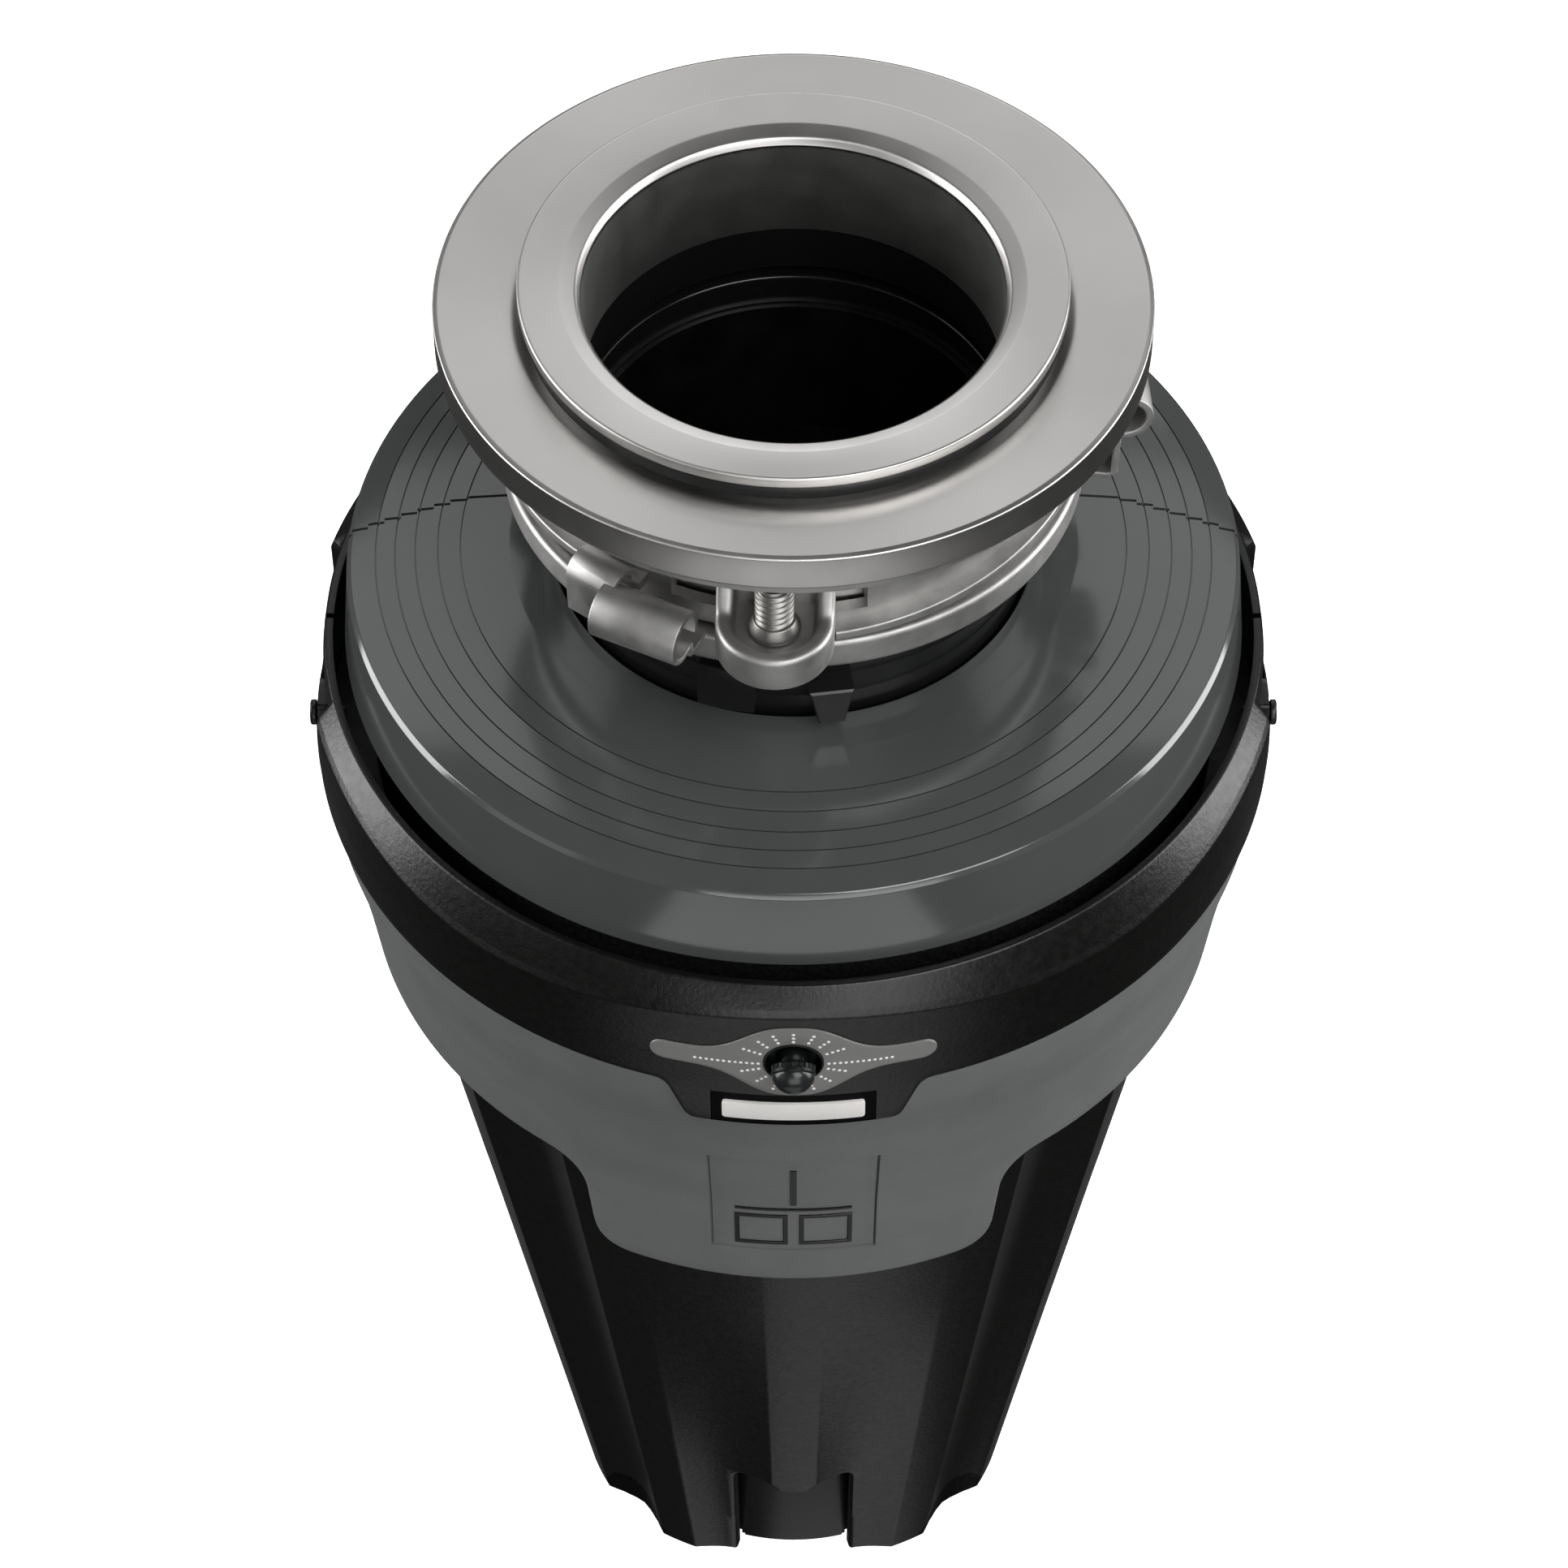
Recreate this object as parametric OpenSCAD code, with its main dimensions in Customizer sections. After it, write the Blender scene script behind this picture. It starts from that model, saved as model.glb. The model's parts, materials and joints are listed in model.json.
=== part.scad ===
// Kitchen garbage disposal, standing upright on its feet.
// Origin: floor level on the vertical centre line. Front faces -Y, +Z is up.
// Azimuths are degrees round the centre line, 0 at the front, positive towards +X.

/* [Sink mount] */
// Outside diameter of the sink flange's rolled rim
flange_d = 114.3; // [112:0.1:116]
// Outside diameter of the sleeve that drops through the sink
sleeve_d = 86; // [85.6:0.1:86.4]
// Height of the sink flange's top above the floor
flange_top = 314; // [313.6:0.1:314.6]
// Diameter of the hole in the splash guard trim ring
throat_d = 67.4; // [66:0.1:68]
// Width of each ear on the mounting ring
ear_w = 18.5; // [16:0.5:19]
// Diameter of the mounting screws
mount_screw_d = 6.2; // [5:0.1:6.4]
// Outside diameter of the lock ring
lock_d = 95.4; // [95:0.1:96]

/* [Housing] */
// Radius of the lower shell's ridges at the floor
shell_r0 = 45.9; // [45.5:0.1:46.5]
// Growth of the ridge radius for each millimetre of height
shell_slope = 0.1525; // [0.15:0.0005:0.155]
// Wall of the plastic covers
wall = 2.4; // [2:0.1:2.6]
// Outside radius of the black band
band_r = 82.9; // [82.6:0.1:83.2]
// Bottom of the grey belt
belt_z0 = 171.5; // [170:0.5:173]
// Seam between the belt and the black band
band_z0 = 213.2; // [212.5:0.1:214]
// Bottom of the apron on the front of the belt
apron_z0 = 147.5; // [146:0.5:152]
// Radius of the hole in the top cover
cover_hole_r = 40.1; // [39.9:0.1:40.6]

/* [Lamp] */
// Height of the lamp above the floor
lamp_z = 222.3; // [221:0.1:223]
// Angle that the lamp looks down by at rest
lamp_tilt = 25; // [20:1:25]
// Radius of the lamp head
lamp_r = 3.6; // [3.3:0.05:3.7]

/* [Outlets] */
// Height of the discharge outlet's centre
outlet_z = 132; // [131:0.5:133]
// Radius of the discharge outlet's bore
outlet_r = 19.4; // [19:0.1:19.6]
// Distance between the two discharge flange screws
outlet_screw_gap = 54; // [53:0.5:56]
// Height of the dishwasher inlet
inlet_z = 193; // [191:0.5:194]
// Outside radius of the dishwasher inlet
inlet_r = 11; // [10.5:0.1:11.2]
// Radius of the cord hole in the grommet
cord_hole_r = 4.2; // [3.5:0.1:4.4]

/* [Grinding parts] */
// Radius of the turntable
turntable_r = 49.9; // [49.5:0.1:50]
// Distance from the centre line to each impeller's pivot
pivot_r = 31; // [30.5:0.1:31.5]
// Outside radius of the hopper's grind chamber wall
hopper_r = 55; // [54.8:0.1:55.2]

/* [Motor] */
// Outside radius of the motor can and end bell
motor_r = 39.2; // [39:0.1:39.4]
// Radius of the motor shaft
shaft_r = 6; // [5.9:0.05:6.1]
// Radial running clearance of the shaft in its bearings and seal
run_fit = 0.05; // [0.02:0.01:0.08]

/* [Hidden] */

$fn = 96;
eps = 0.01;
third = 120;

// Sink mount
flange_r = flange_d / 2;
sleeve_r = sleeve_d / 2;
sleeve_in_r = sleeve_r - 1.6;
throat_r = throat_d / 2;
rim_h = 6.7;
flange_seat = flange_top - rim_h;
screw_r = mount_screw_d / 2;
ear_azimuth = -3.3;
ear_screw_r = 51;
ear_tip_r = 60;
lock_r = lock_d / 2;
lock_z0 = 278;
lock_z1 = 284;
tube_azimuth = -26;
hook_azimuth = -37;
ramp_a0 = 8;
ramp_a1 = 90;
neck_r = 36.2;

// Housing
shell_top = 184;
cover_z0 = 238.7;
cover_top = 258.3;
pin_y = -11.5;
pin_z = 226;
drop_z0 = 204;

// Lamp
lamp_pivot_y = -82.2;
lens_r = 3.2;
lens_out = 2.95;
bezel_in_r = 4.6;
bezel_r = 4.95;
// The lens tip is the foremost point, and the dishwasher inlet reaches as far to the rear
reach_y = lens_out * cos(lamp_tilt) + lens_r - lamp_pivot_y;

// Rear window for the dishwasher hose
hose_window_r = 15.5;

// The two long bolts stand between the magnets
bolt_azimuth = 20;
bolt_out = 34;
cord_z = 16.2;
wiring_y = 21.8;

// Heights of the joints between the casings of the motor and the grind chamber
bell_z0 = 4;
bell_z1 = 46;
can_z1 = 118;
chamber_z1 = 150;
cone_z0 = 214;
neck_z0 = 249.6;
turntable_z = 153;
turntable_t = 2.5;
lug_z = 156;
lug_t = 4;

// Colours
steel = [0.62, 0.61, 0.60];
dark_steel = [0.40, 0.40, 0.41];
cast = [0.55, 0.56, 0.58];
cover_grey = [0.34, 0.35, 0.36];
belt_grey = [0.40, 0.41, 0.41];
black = [0.12, 0.12, 0.12];
rubber_black = [0.07, 0.07, 0.07];
copper = [0.72, 0.40, 0.20];

function ridge_r(z) = shell_r0 + shell_slope * z;
function polar(r, a) = [r * sin(a), -r * cos(a)];

// Ring with a square section
module ring(r_in, r_out, z0, z1) {
    rotate_extrude()
        translate([r_in, z0])
            square([r_out - r_in, z1 - z0]);
}

// Piece of such a ring, centred on azimuth a and reaching half degrees each way
module sector(r_in, r_out, z0, z1, a, half) {
    rotate([0, 0, a - 90 - half])
        rotate_extrude(angle = 2 * half)
            translate([r_in, z0])
                square([r_out - r_in, z1 - z0]);
}

// Puts its children at azimuth a, r millimetres out and z millimetres up
module at(a, r = 0, z = 0) {
    rotate([0, 0, a])
        translate([0, -r, z])
            children();
}

module repeat(n, a0 = 0) {
    for (i = [0 : n - 1])
        rotate([0, 0, a0 + i * 360 / n])
            children();
}

module disc(r, z0, z1) {
    translate([0, 0, z0])
        cylinder(r = r, h = z1 - z0);
}

module centred_box(size, centre) {
    translate(centre - size / 2)
        cube(size);
}

// Cylinder along Y from y0 to y1
module bar_y(r, y0, y1) {
    translate([0, y1, 0])
        rotate([90, 0, 0])
            cylinder(r = r, h = y1 - y0);
}

// Cylinder along X from x0 to x1
module bar_x(r, x0, x1) {
    translate([x0, 0, 0])
        rotate([0, 90, 0])
            cylinder(r = r, h = x1 - x0);
}

// Outline in X and Z pushed through the part from y0 to y1
module through_y(y0, y1) {
    translate([0, y1, 0])
        rotate([90, 0, 0])
            linear_extrude(y1 - y0)
                children();
}

// Flat bar with round ends, lying in the XY plane
module round_bar(length, r, t) {
    linear_extrude(t)
        union() {
            square([length, 2 * r], center = true);
            for (s = [-1, 1])
                translate([s * length / 2, 0])
                    circle(r = r);
        }
}

// Ball bearing outline: a ring with a groove between its races on each side
module bearing(z0, r_out, h) {
    rotate_extrude()
        difference() {
            translate([shaft_r + run_fit, z0])
                square([r_out - shaft_r - run_fit, h]);
            for (z = [z0, z0 + h])
                translate([(shaft_r + r_out) / 2, z])
                    square([r_out - shaft_r - 4, 1], center = true);
        }
}

// ---------------------------------------------------------------- sink mount

module sink_flange() {
    color(steel)
        difference() {
            rotate_extrude()
                polygon([
                    [sleeve_in_r, 284.6], [sleeve_r, 284.6], [sleeve_r, flange_seat + 0.5],
                    [flange_r - 1.6, flange_seat + 0.5], [flange_r - 1.6, flange_seat],
                    [flange_r, flange_seat], [flange_r, flange_top - 0.9],
                    [flange_r - 0.9, flange_top], [flange_r - 2.4, flange_top],
                    [45, 311.6], [42.6, 310.4], [sleeve_in_r, 308]
                ]);
            // Groove for the snap ring
            ring(sleeve_r - 0.7, sleeve_r + 1, 286.2, 287.9);
        }
}

module sink_gasket() {
    color(rubber_black)
        ring(sleeve_r + 0.3, ear_screw_r + 2.8, 304.9, flange_seat + 0.5);
}

module backup_ring() {
    color(dark_steel)
        difference() {
            ring(sleeve_r + 0.3, ear_screw_r + 2.8, 302.8, 304.6);
            repeat(3, ear_azimuth)
                translate([0, -ear_screw_r, 302.2])
                    cylinder(r = screw_r - 1, h = 1.2);
        }
}

module ear_outline(r_side, length) {
    translate([-r_side, -length])
        square([2 * r_side, length]);
    translate([0, -length])
        circle(r = r_side);
}

// U ear: a tray with a raised rim above and a hollow below
module ear() {
    half = ear_w / 2;
    reach = ear_tip_r - half;
    difference() {
        translate([0, 0, 287])
            linear_extrude(6.5)
                ear_outline(half, reach);
        translate([0, 0, 292])
            linear_extrude(3)
                ear_outline(half - 1.7, reach);
        translate([0, 0, 286])
            linear_extrude(4.4)
                ear_outline(half - 1.7, reach);
        translate([0, 0, 280])
            cylinder(r = sleeve_r + 1.6, h = 20);
        translate([0, -ear_screw_r, 280])
            cylinder(r = screw_r + 0.05, h = 20);
    }
}

// One helical ramp: a tilted plate cut to the ramp's sector
module ramp() {
    mid = (ramp_a0 + ramp_a1) / 2;
    intersection() {
        sector(sleeve_r + 2.4, 48.3, 284.6, 296, mid, (ramp_a1 - ramp_a0) / 2);
        at(mid, 47, 288.4)
            rotate([0, -4.6, 0])
                translate([-50, -20, -0.9])
                    cube([100, 60, 1.8]);
    }
}

module mounting_ring() {
    color(steel)
        union() {
            difference() {
                rotate_extrude()
                    polygon([
                        [sleeve_r + 1.5, 284.8], [sleeve_r + 2.6, 284.8], [sleeve_r + 2.6, 301],
                        [sleeve_r + 0.5, 301], [sleeve_r + 0.5, 288.2], [sleeve_r + 1.5, 288.2]
                    ]);
                // Windows on both sides of each ear
                repeat(3, ear_azimuth) {
                    sector(sleeve_r, sleeve_r + 4, 289, 296.5, -16.5, 5);
                    sector(sleeve_r, sleeve_r + 4, 289, 296.5, 14.5, 3.5);
                }
            }
            repeat(3, ear_azimuth)
                ear();
            repeat(3)
                ramp();
        }
}

module mounting_screws() {
    color(dark_steel)
        repeat(3, ear_azimuth)
            translate([0, -ear_screw_r, 0]) {
                difference() {
                    disc(screw_r, 285.6, 302.2);
                    centred_box([1, 8, 2.4], [0, 0, 285.8]);
                }
                ring(screw_r, 4.15, 292, 294.2);
                disc(screw_r - 1.1, 302, 303.3);
            }
}

module snap_ring() {
    color(dark_steel)
        difference() {
            ring(sleeve_r - 0.6, sleeve_r + 1.3, 286.3, 287.8);
            sector(sleeve_r - 2, sleeve_r + 3, 286, 288, 180, 5);
        }
}

// Rolled tube that a wrench fits, on a strap from the ring
module wrench_tube() {
    tube_r = 4.5;
    translate([0, -53.4, 289.5])
        difference() {
            bar_x(tube_r, -7.5, 7.5);
            bar_x(tube_r - 1.3, -8, 8);
        }
    sector(lock_r - 1, 52, 282.9, 284.1, 0, 6.6);
    translate([-6.7, -54.6, 282.7])
        cube([13.4, 4, 2.9]);
}

// Rolled hook that rides over a ramp
module hook() {
    hook_r = 3.5;
    difference() {
        translate([0, -49.9, 291.4])
            difference() {
                bar_x(hook_r, -4.5, 4.5);
                bar_x(hook_r - 1.2, -5, 5);
            }
        translate([-6, -50.2, 284])
            cube([12, 6, 8.6]);
    }
    sector(lock_r - 1, 53.7, 283, 284.1, 0, 4);
    translate([-3.1, -53.2, 283.5])
        cube([6.2, 1.1, 7.7]);
}

module lock_ring() {
    color(steel)
        union() {
            difference() {
                rotate_extrude()
                    polygon([
                        [41.8, lock_z0], [lock_r, lock_z0], [lock_r, lock_z1], [43.8, lock_z1],
                        [43.8, lock_z1 - 1], [lock_r - 1.8, lock_z1 - 1],
                        [lock_r - 1.8, lock_z0 + 1.6], [41.8, lock_z0 + 1.6]
                    ]);
                // Small notches in the top face beside each tube
                repeat(3, tube_azimuth) {
                    sector(44.6, 46.6, lock_z1 - 1.5, lock_z1 + 1, 13, 1.2);
                    sector(44.6, 46.6, lock_z1 - 1.5, lock_z1 + 1, -17, 1.2);
                }
            }
            repeat(3, tube_azimuth)
                wrench_tube();
            repeat(3, hook_azimuth)
                hook();
        }
}

module mounting_gasket() {
    color(rubber_black)
        union() {
            rotate_extrude()
                polygon([
                    [neck_r + 0.05, 250.6], [39.0, 250.6], [39.3, 258], [39.8, 263], [42, 270],
                    [45.2, 276.4], [45.2, 277.6], [41.4, 277.6], [41.4, 280], [43.3, 280],
                    [43.3, 284.2], [34.6, 284.2], [34.6, 278.3], [neck_r + 0.05, 278.3]
                ]);
            // Moulded pull tab
            at(8, 0, 0)
                through_y(-44.6, -38.5)
                    polygon([[-3.6, 264.4], [3.6, 264.4], [2.4, 259], [-2.4, 259]]);
            // Stop block
            sector(41, 48.2, 267.6, 276.8, -13, 5.5);
        }
}

module splash_guard_trim() {
    color(steel)
        rotate_extrude()
            polygon([
                [throat_r, 296], [throat_r + 0.28, 296], [throat_r + 0.28, 313.45], [throat_r + 1.2, 313.45],
                [throat_r + 1.9, 315.3], [43.7, 315.3], [43.7, 317], [43.3, 317.4], [37, 316.6],
                [34.6, 315.8], [throat_r, 314.7]
            ]);
}

module splash_guard_rubber() {
    color(rubber_black)
        rotate_extrude()
            polygon([
                [throat_r + 0.3, 287], [36.6, 287], [36.6, 307.5], [40.8, 308.5], [40.8, 311.9],
                [43.2, 312.2], [43.2, 315.25], [throat_r + 1.95, 315.25],
                [throat_r + 1.2, 313.4], [throat_r + 0.3, 313.4]
            ]);
}

// ------------------------------------------------------------------- housing

// Stepped seam: y of the parting line at x, in steps on the covers' top
function seam_y(x) = 9 - 6 * max(0, min(1, (floor(abs(x) / 2.75) * 2.75 - 53) / 22));

module rear_of_seam(gap) {
    step = 2.75;
    edge = [for (x = [-82.5 : step : 82.5]) each [
        [x, seam_y(x + step / 2) + gap],
        [x + step, seam_y(x + step / 2) + gap]
    ]];
    linear_extrude(300)
        polygon(concat(edge, [[90, 95], [-90, 95]]));
}

module whole_cover() {
    rotate_extrude()
        polygon([
            [cover_hole_r, cover_top], [47.5, cover_top - 0.1], [60, cover_top - 1.1],
            [70, cover_top - 2.5], [74, cover_top - 3.5], [74.8, cover_top - 4.4],
            [76.2, cover_z0], [76.2 - wall, cover_z0], [72.6, cover_top - 5.8],
            [69.8, cover_top - 4.8], [60, cover_top - 3.4], [47.5, cover_top - 2.3],
            [cover_hole_r, cover_top - 2.2]
        ]);
}

module top_cover_front() {
    color(cover_grey)
        difference() {
            whole_cover();
            rear_of_seam(-0.15);
        }
}

module top_cover_rear() {
    color(cover_grey)
        intersection() {
            whole_cover();
            rear_of_seam(0.15);
        }
}

module whole_band() {
    rotate_extrude()
        polygon([
            [78.2, 237.7], [79.4, 237.9], [81.2, 235.4], [82.5, 233.4], [band_r, 231],
            [band_r, 222], [band_r - 0.3, band_z0], [band_r - wall, band_z0],
            [band_r - wall, 231.4], [78.2, 235.8]
        ]);
}

// Half of the outline of the front drop, from its outer top corner to its middle
drop_half = [[23.6, 214.4], [21.2, 213], [19.9, 210.6], [19, 207], [17.6, 204.9], [15.6, drop_z0]];

module drop_outline(grow) {
    right = [for (p = drop_half) [p[0] + grow, p[1] - grow]];
    left = [for (i = [len(drop_half) - 1 : -1 : 0]) [-right[i][0], right[i][1]]];
    polygon(concat(right, left));
}

// Pocket at each side where the band halves meet
module band_pockets() {
    for (s = [-1, 1]) {
        sector(80.2, 86, 217, 240, s * 90, 14);
        sector(70, 90, 200, 240, s * 90, 0.4);
    }
}

module band_front() {
    color(black)
        difference() {
            union() {
                difference() {
                    whole_band();
                    band_pockets();
                    translate([-100, 0, 190])
                        cube([200, 100, 60]);
                }
                // Drop panel over the belt
                intersection() {
                    sector(81.2, band_r, drop_z0 - 2, band_z0 + 1, 0, 20);
                    through_y(-90, -70)
                        drop_outline(0);
                }
                // Lugs for the pins
                for (s = [-1, 1])
                    centred_box([2.4, 8, 12], [s * 79.4, pin_y, 226]);
            }
            // Bore for the lamp socket
            translate([0, 0, lamp_z])
                bar_y(bezel_r, -90, -76);
            // Recess for the name plate
            sector(band_r - 0.9, band_r + 1, 204.2, 212.4, 0, 9.5);
            for (s = [-1, 1])
                translate([0, pin_y, pin_z])
                    bar_x(1.3, s * 80 - 3, s * 80 + 3);
        }
}

module band_rear() {
    color(black)
        difference() {
            intersection() {
                whole_band();
                translate([-100, 0, 190])
                    cube([200, 100, 60]);
            }
            band_pockets();
        }
}

module band_pins() {
    color(rubber_black)
        for (s = [-1, 1])
            translate([0, pin_y, pin_z])
                rotate([0, 0, s > 0 ? 0 : 180]) {
                    bar_x(1.2, 76.5, 81.4);
                    bar_x(2.2, 81.2, 82.4);
                }
}

// Half height of the lamp panel at x: a bell on a bar with round ends
panel_end_x = 21;
panel_end_r = 2.3;
function panel_end(x) = max(0, abs(x) - panel_end_x) / panel_end_r;
function panel_h(x) = panel_end_r * sqrt(1 - pow(min(1, panel_end(x)), 2))
    + 6.65 * exp(-pow(abs(x) / 9.6, 2.8));

module lamp_panel() {
    bell = [-19.5 : 1.5 : 19.5];
    tip = [0 : 15 : 90];
    xs = concat(
        [for (a = [90 : -15 : 0]) -panel_end_x - panel_end_r * sin(a)],
        [for (x = bell) x],
        [for (a = tip) panel_end_x + panel_end_r * sin(a)]
    );
    color(steel)
        difference() {
            intersection() {
                sector(band_r - 0.5, band_r + 0.35, 205, 240, 0, 24);
                through_y(-90, -70)
                    polygon(concat(
                        [for (x = xs) [x, lamp_z + panel_h(x)]],
                        [for (i = [1 : len(xs) - 2]) [-xs[i], lamp_z - panel_h(xs[i])]]
                    ));
            }
            // The wall of the band fills the space behind the plate
            disc(band_r + 0.02, 200, 250);
            translate([0, 0, lamp_z])
                bar_y(bezel_r, -90, -76);
        }
}

module lamp_bezel() {
    color(rubber_black)
        translate([0, 0, lamp_z])
            difference() {
                bar_y(bezel_r, -83.5, -78.2);
                bar_y(bezel_in_r, -90, -79);
                bar_y(2.4, -90, -70);
            }
}

module lamp_swivel_cup() {
    color(black)
        difference() {
            translate([0, 0, lamp_z])
                bar_y(4.3, -81.2, -79.05);
            translate([0, lamp_pivot_y, lamp_z])
                sphere(r = 2.46);
        }
}

// Turns its children from pointing along -Y to the lamp's resting direction
module aim_lamp() {
    translate([0, lamp_pivot_y, lamp_z])
        rotate([lamp_tilt, 0, 0])
            children();
}

module lamp_head() {
    ribs = 20;
    color(black)
        aim_lamp()
            union() {
                sphere(r = 2.4);
                bar_x(0.6, -2.7, 2.7);
                bar_y(1.8, -1.6, 0);
                difference() {
                    bar_y(lamp_r, -2.9, -1.1);
                    for (i = [0 : ribs - 1])
                        rotate([0, i * 360 / ribs, 0])
                            translate([lamp_r + 0.15, -1.6, 0])
                                rotate([90, 0, 0])
                                    cylinder(r = 0.3, h = 3);
                }
            }
}

module lamp_lens() {
    color([0.05, 0.06, 0.06])
        aim_lamp()
            intersection() {
                translate([0, -lens_out, 0])
                    sphere(r = lens_r);
                bar_y(lamp_r, -8, -lens_out);
            }
}

module lamp_board() {
    color([0.10, 0.30, 0.16])
        union() {
            centred_box([18, 1.4, 13], [0, -76.3, lamp_z]);
            translate([0, 0, lamp_z])
                bar_y(1.9, -78.6, -76.8);
        }
}

module name_plate() {
    bar_l = 19.4;
    color(dark_steel)
        difference() {
            union() {
                sector(band_r - 0.9, band_r - 0.45, 204.3, 212.3, 0, 9.4);
                intersection() {
                    sector(band_r - 0.7, band_r + 0.2, 205.4, 211.2, 0, 10);
                    translate([0, 0, 208.3])
                        rotate([90, 0, 0])
                            round_bar(bar_l, 2.1, 90);
                }
            }
            disc(band_r - 0.89, 200, 220);
        }
}

// Outline of the apron below the belt, seen from the front
module apron_outline() {
    w = 34.2;
    polygon([
        [-w - 6, belt_z0 + 2], [w + 6, belt_z0 + 2], [w + 4.6, belt_z0], [w + 2.4, belt_z0 - 2.4],
        [w + 0.8, belt_z0 - 6], [w, belt_z0 - 16], [w - 1.2, apron_z0 + 3.4],
        [w - 4, apron_z0 + 1], [w - 9, apron_z0 + 0.1], [0, apron_z0],
        [-w + 9, apron_z0 + 0.1], [-w + 4, apron_z0 + 1], [-w + 1.2, apron_z0 + 3.4],
        [-w, belt_z0 - 16], [-w - 0.8, belt_z0 - 6], [-w - 2.4, belt_z0 - 2.4], [-w - 4.6, belt_z0]
    ]);
}

// Outside of the belt and its apron, as heights and radii
belt_line = [[apron_z0 + 2.2, 75.2], [belt_z0, 76], [184, 77.4], [194, 78.8], [204, 80.9], [band_z0, 82]];
function belt_r(z) = lookup(z, belt_line);

rating_z0 = 157;
rating_z1 = 187;

// Skin of the belt round the rating plate, from in millimetres below its surface to out
module belt_skin(in, out, z0, z1, half) {
    heights = [z0, belt_z0, 184, z1];
    rotate([0, 0, -90 - half])
        rotate_extrude(angle = 2 * half)
            polygon(concat(
                [for (z = heights) [belt_r(z) - in, z]],
                [for (i = [3 : -1 : 0]) [belt_r(heights[i]) - out, heights[i]]]
            ));
}

module belt_cover() {
    color(belt_grey)
        difference() {
            union() {
                rotate_extrude()
                    polygon([
                        for (z = [belt_z0, 184, 194, 204, band_z0]) [belt_r(z), z],
                        [79.6, band_z0], [78.5, 204.3], [76.4, 194.3], [75, 184.3],
                        [73.8, belt_z0 + 2.6], [ridge_r(belt_z0) + 0.4, belt_z0]
                    ]);
                intersection() {
                    rotate_extrude()
                        polygon([
                            [ridge_r(apron_z0) + 0.3, apron_z0], [74.2, apron_z0],
                            [belt_r(0), apron_z0 + 2.2], [belt_r(belt_z0), belt_z0],
                            [belt_r(belt_z0 + 2), belt_z0 + 2],
                            [ridge_r(belt_z0) + 0.3, belt_z0 + 2]
                        ]);
                    through_y(-90, -40)
                        apron_outline();
                }
            }
            // Room for the front drop of the band, for the rating plate and for the hose
            through_y(-90, -70)
                drop_outline(0.3);
            belt_skin(0.9, -3, rating_z0, rating_z1, 10.8);
            translate([0, 0, inlet_z])
                bar_y(hose_window_r, 40, 90);
        }
}

// Frame of a raised sign, from x0 to x1 and from z0 to z1
module sign_frame(x0, x1, z0, z1, stroke) {
    mid = [(x0 + x1) / 2, -50, (z0 + z1) / 2];
    difference() {
        centred_box([x1 - x0, 100, z1 - z0], mid);
        centred_box([x1 - x0 - 2 * stroke, 102, z1 - z0 - 2 * stroke], mid);
    }
}

// Plate with a raised plain sign: a stroke, a line and two frames
module rating_plate() {
    stroke = 0.8;
    color(belt_grey)
        union() {
            belt_skin(0.9, 0.45, rating_z0 + 0.1, rating_z1 - 0.1, 10.7);
            intersection() {
                belt_skin(0.7, 0.1, rating_z0 + 1, rating_z1 - 1, 10);
                union() {
                    centred_box([1.1, 100, 11.8], [0, -50, 177.3]);
                    centred_box([20.2, 100, 0.5], [0, -50, 169.9]);
                    sign_frame(-10.2, -1, 158.9, 168.1, stroke);
                    sign_frame(1, 10.2, 158.9, 168.1, stroke);
                }
            }
        }
}

// Factor on the ridge radius round the fluted shell: a raised strip, a scooped panel, a ridge and a flute
flute_half = [
    [4.9, 0.979], [10, 0.958], [15.5, 0.953], [21, 0.962], [26, 0.987], [35, 1],
    [38.5, 0.968], [42, 0.945]
];
flute = concat(
    [for (i = [len(flute_half) - 1 : -1 : 0]) [-flute_half[i][0], flute_half[i][1]]],
    flute_half,
    [[45, 0.937]]
);

function shell_outline(r, inset) = [
    for (quarter = [0 : 90 : 270]) for (p = flute) polar(r * p[1] - inset, quarter + p[0])
];

module shell_body() {
    difference() {
        linear_extrude(shell_top, scale = ridge_r(shell_top) / shell_r0)
            polygon(shell_outline(shell_r0, 0));
        translate([0, 0, -eps])
            linear_extrude(shell_top + 2 * eps,
                scale = (ridge_r(shell_top) - wall) / (shell_r0 - wall))
                polygon(shell_outline(shell_r0, wall));
    }
}

// U notch in the middle of each panel's bottom edge, with a lip between two round lobes
module foot_notch() {
    lobe = 3.8;
    half = 11.9;
    through_y(-60, -30)
        union() {
            translate([-half, -1])
                square([2 * half, 37.5]);
            for (s = [-1, 1])
                translate([s * (half - lobe), 36.5])
                    circle(r = lobe);
        }
}

// Shallow arch below each flute
module flute_arch() {
    through_y(-70, -30)
        union() {
            translate([-7.4, -1])
                square([14.8, 7]);
            translate([0, 3.4])
                circle(r = 7.4);
        }
}

module lower_shell() {
    port_w = 74;
    color(black)
        difference() {
            shell_body();
            repeat(4)
                foot_notch();
            repeat(4, 45)
                flute_arch();
            // Windows for the discharge port and the dishwasher hose at the rear
            centred_box([port_w, 40, 50], [0, 65, outlet_z]);
            translate([0, 0, inlet_z])
                bar_y(hose_window_r, 40, 90);
        }
}

// --------------------------------------------------------------------- motor

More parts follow.
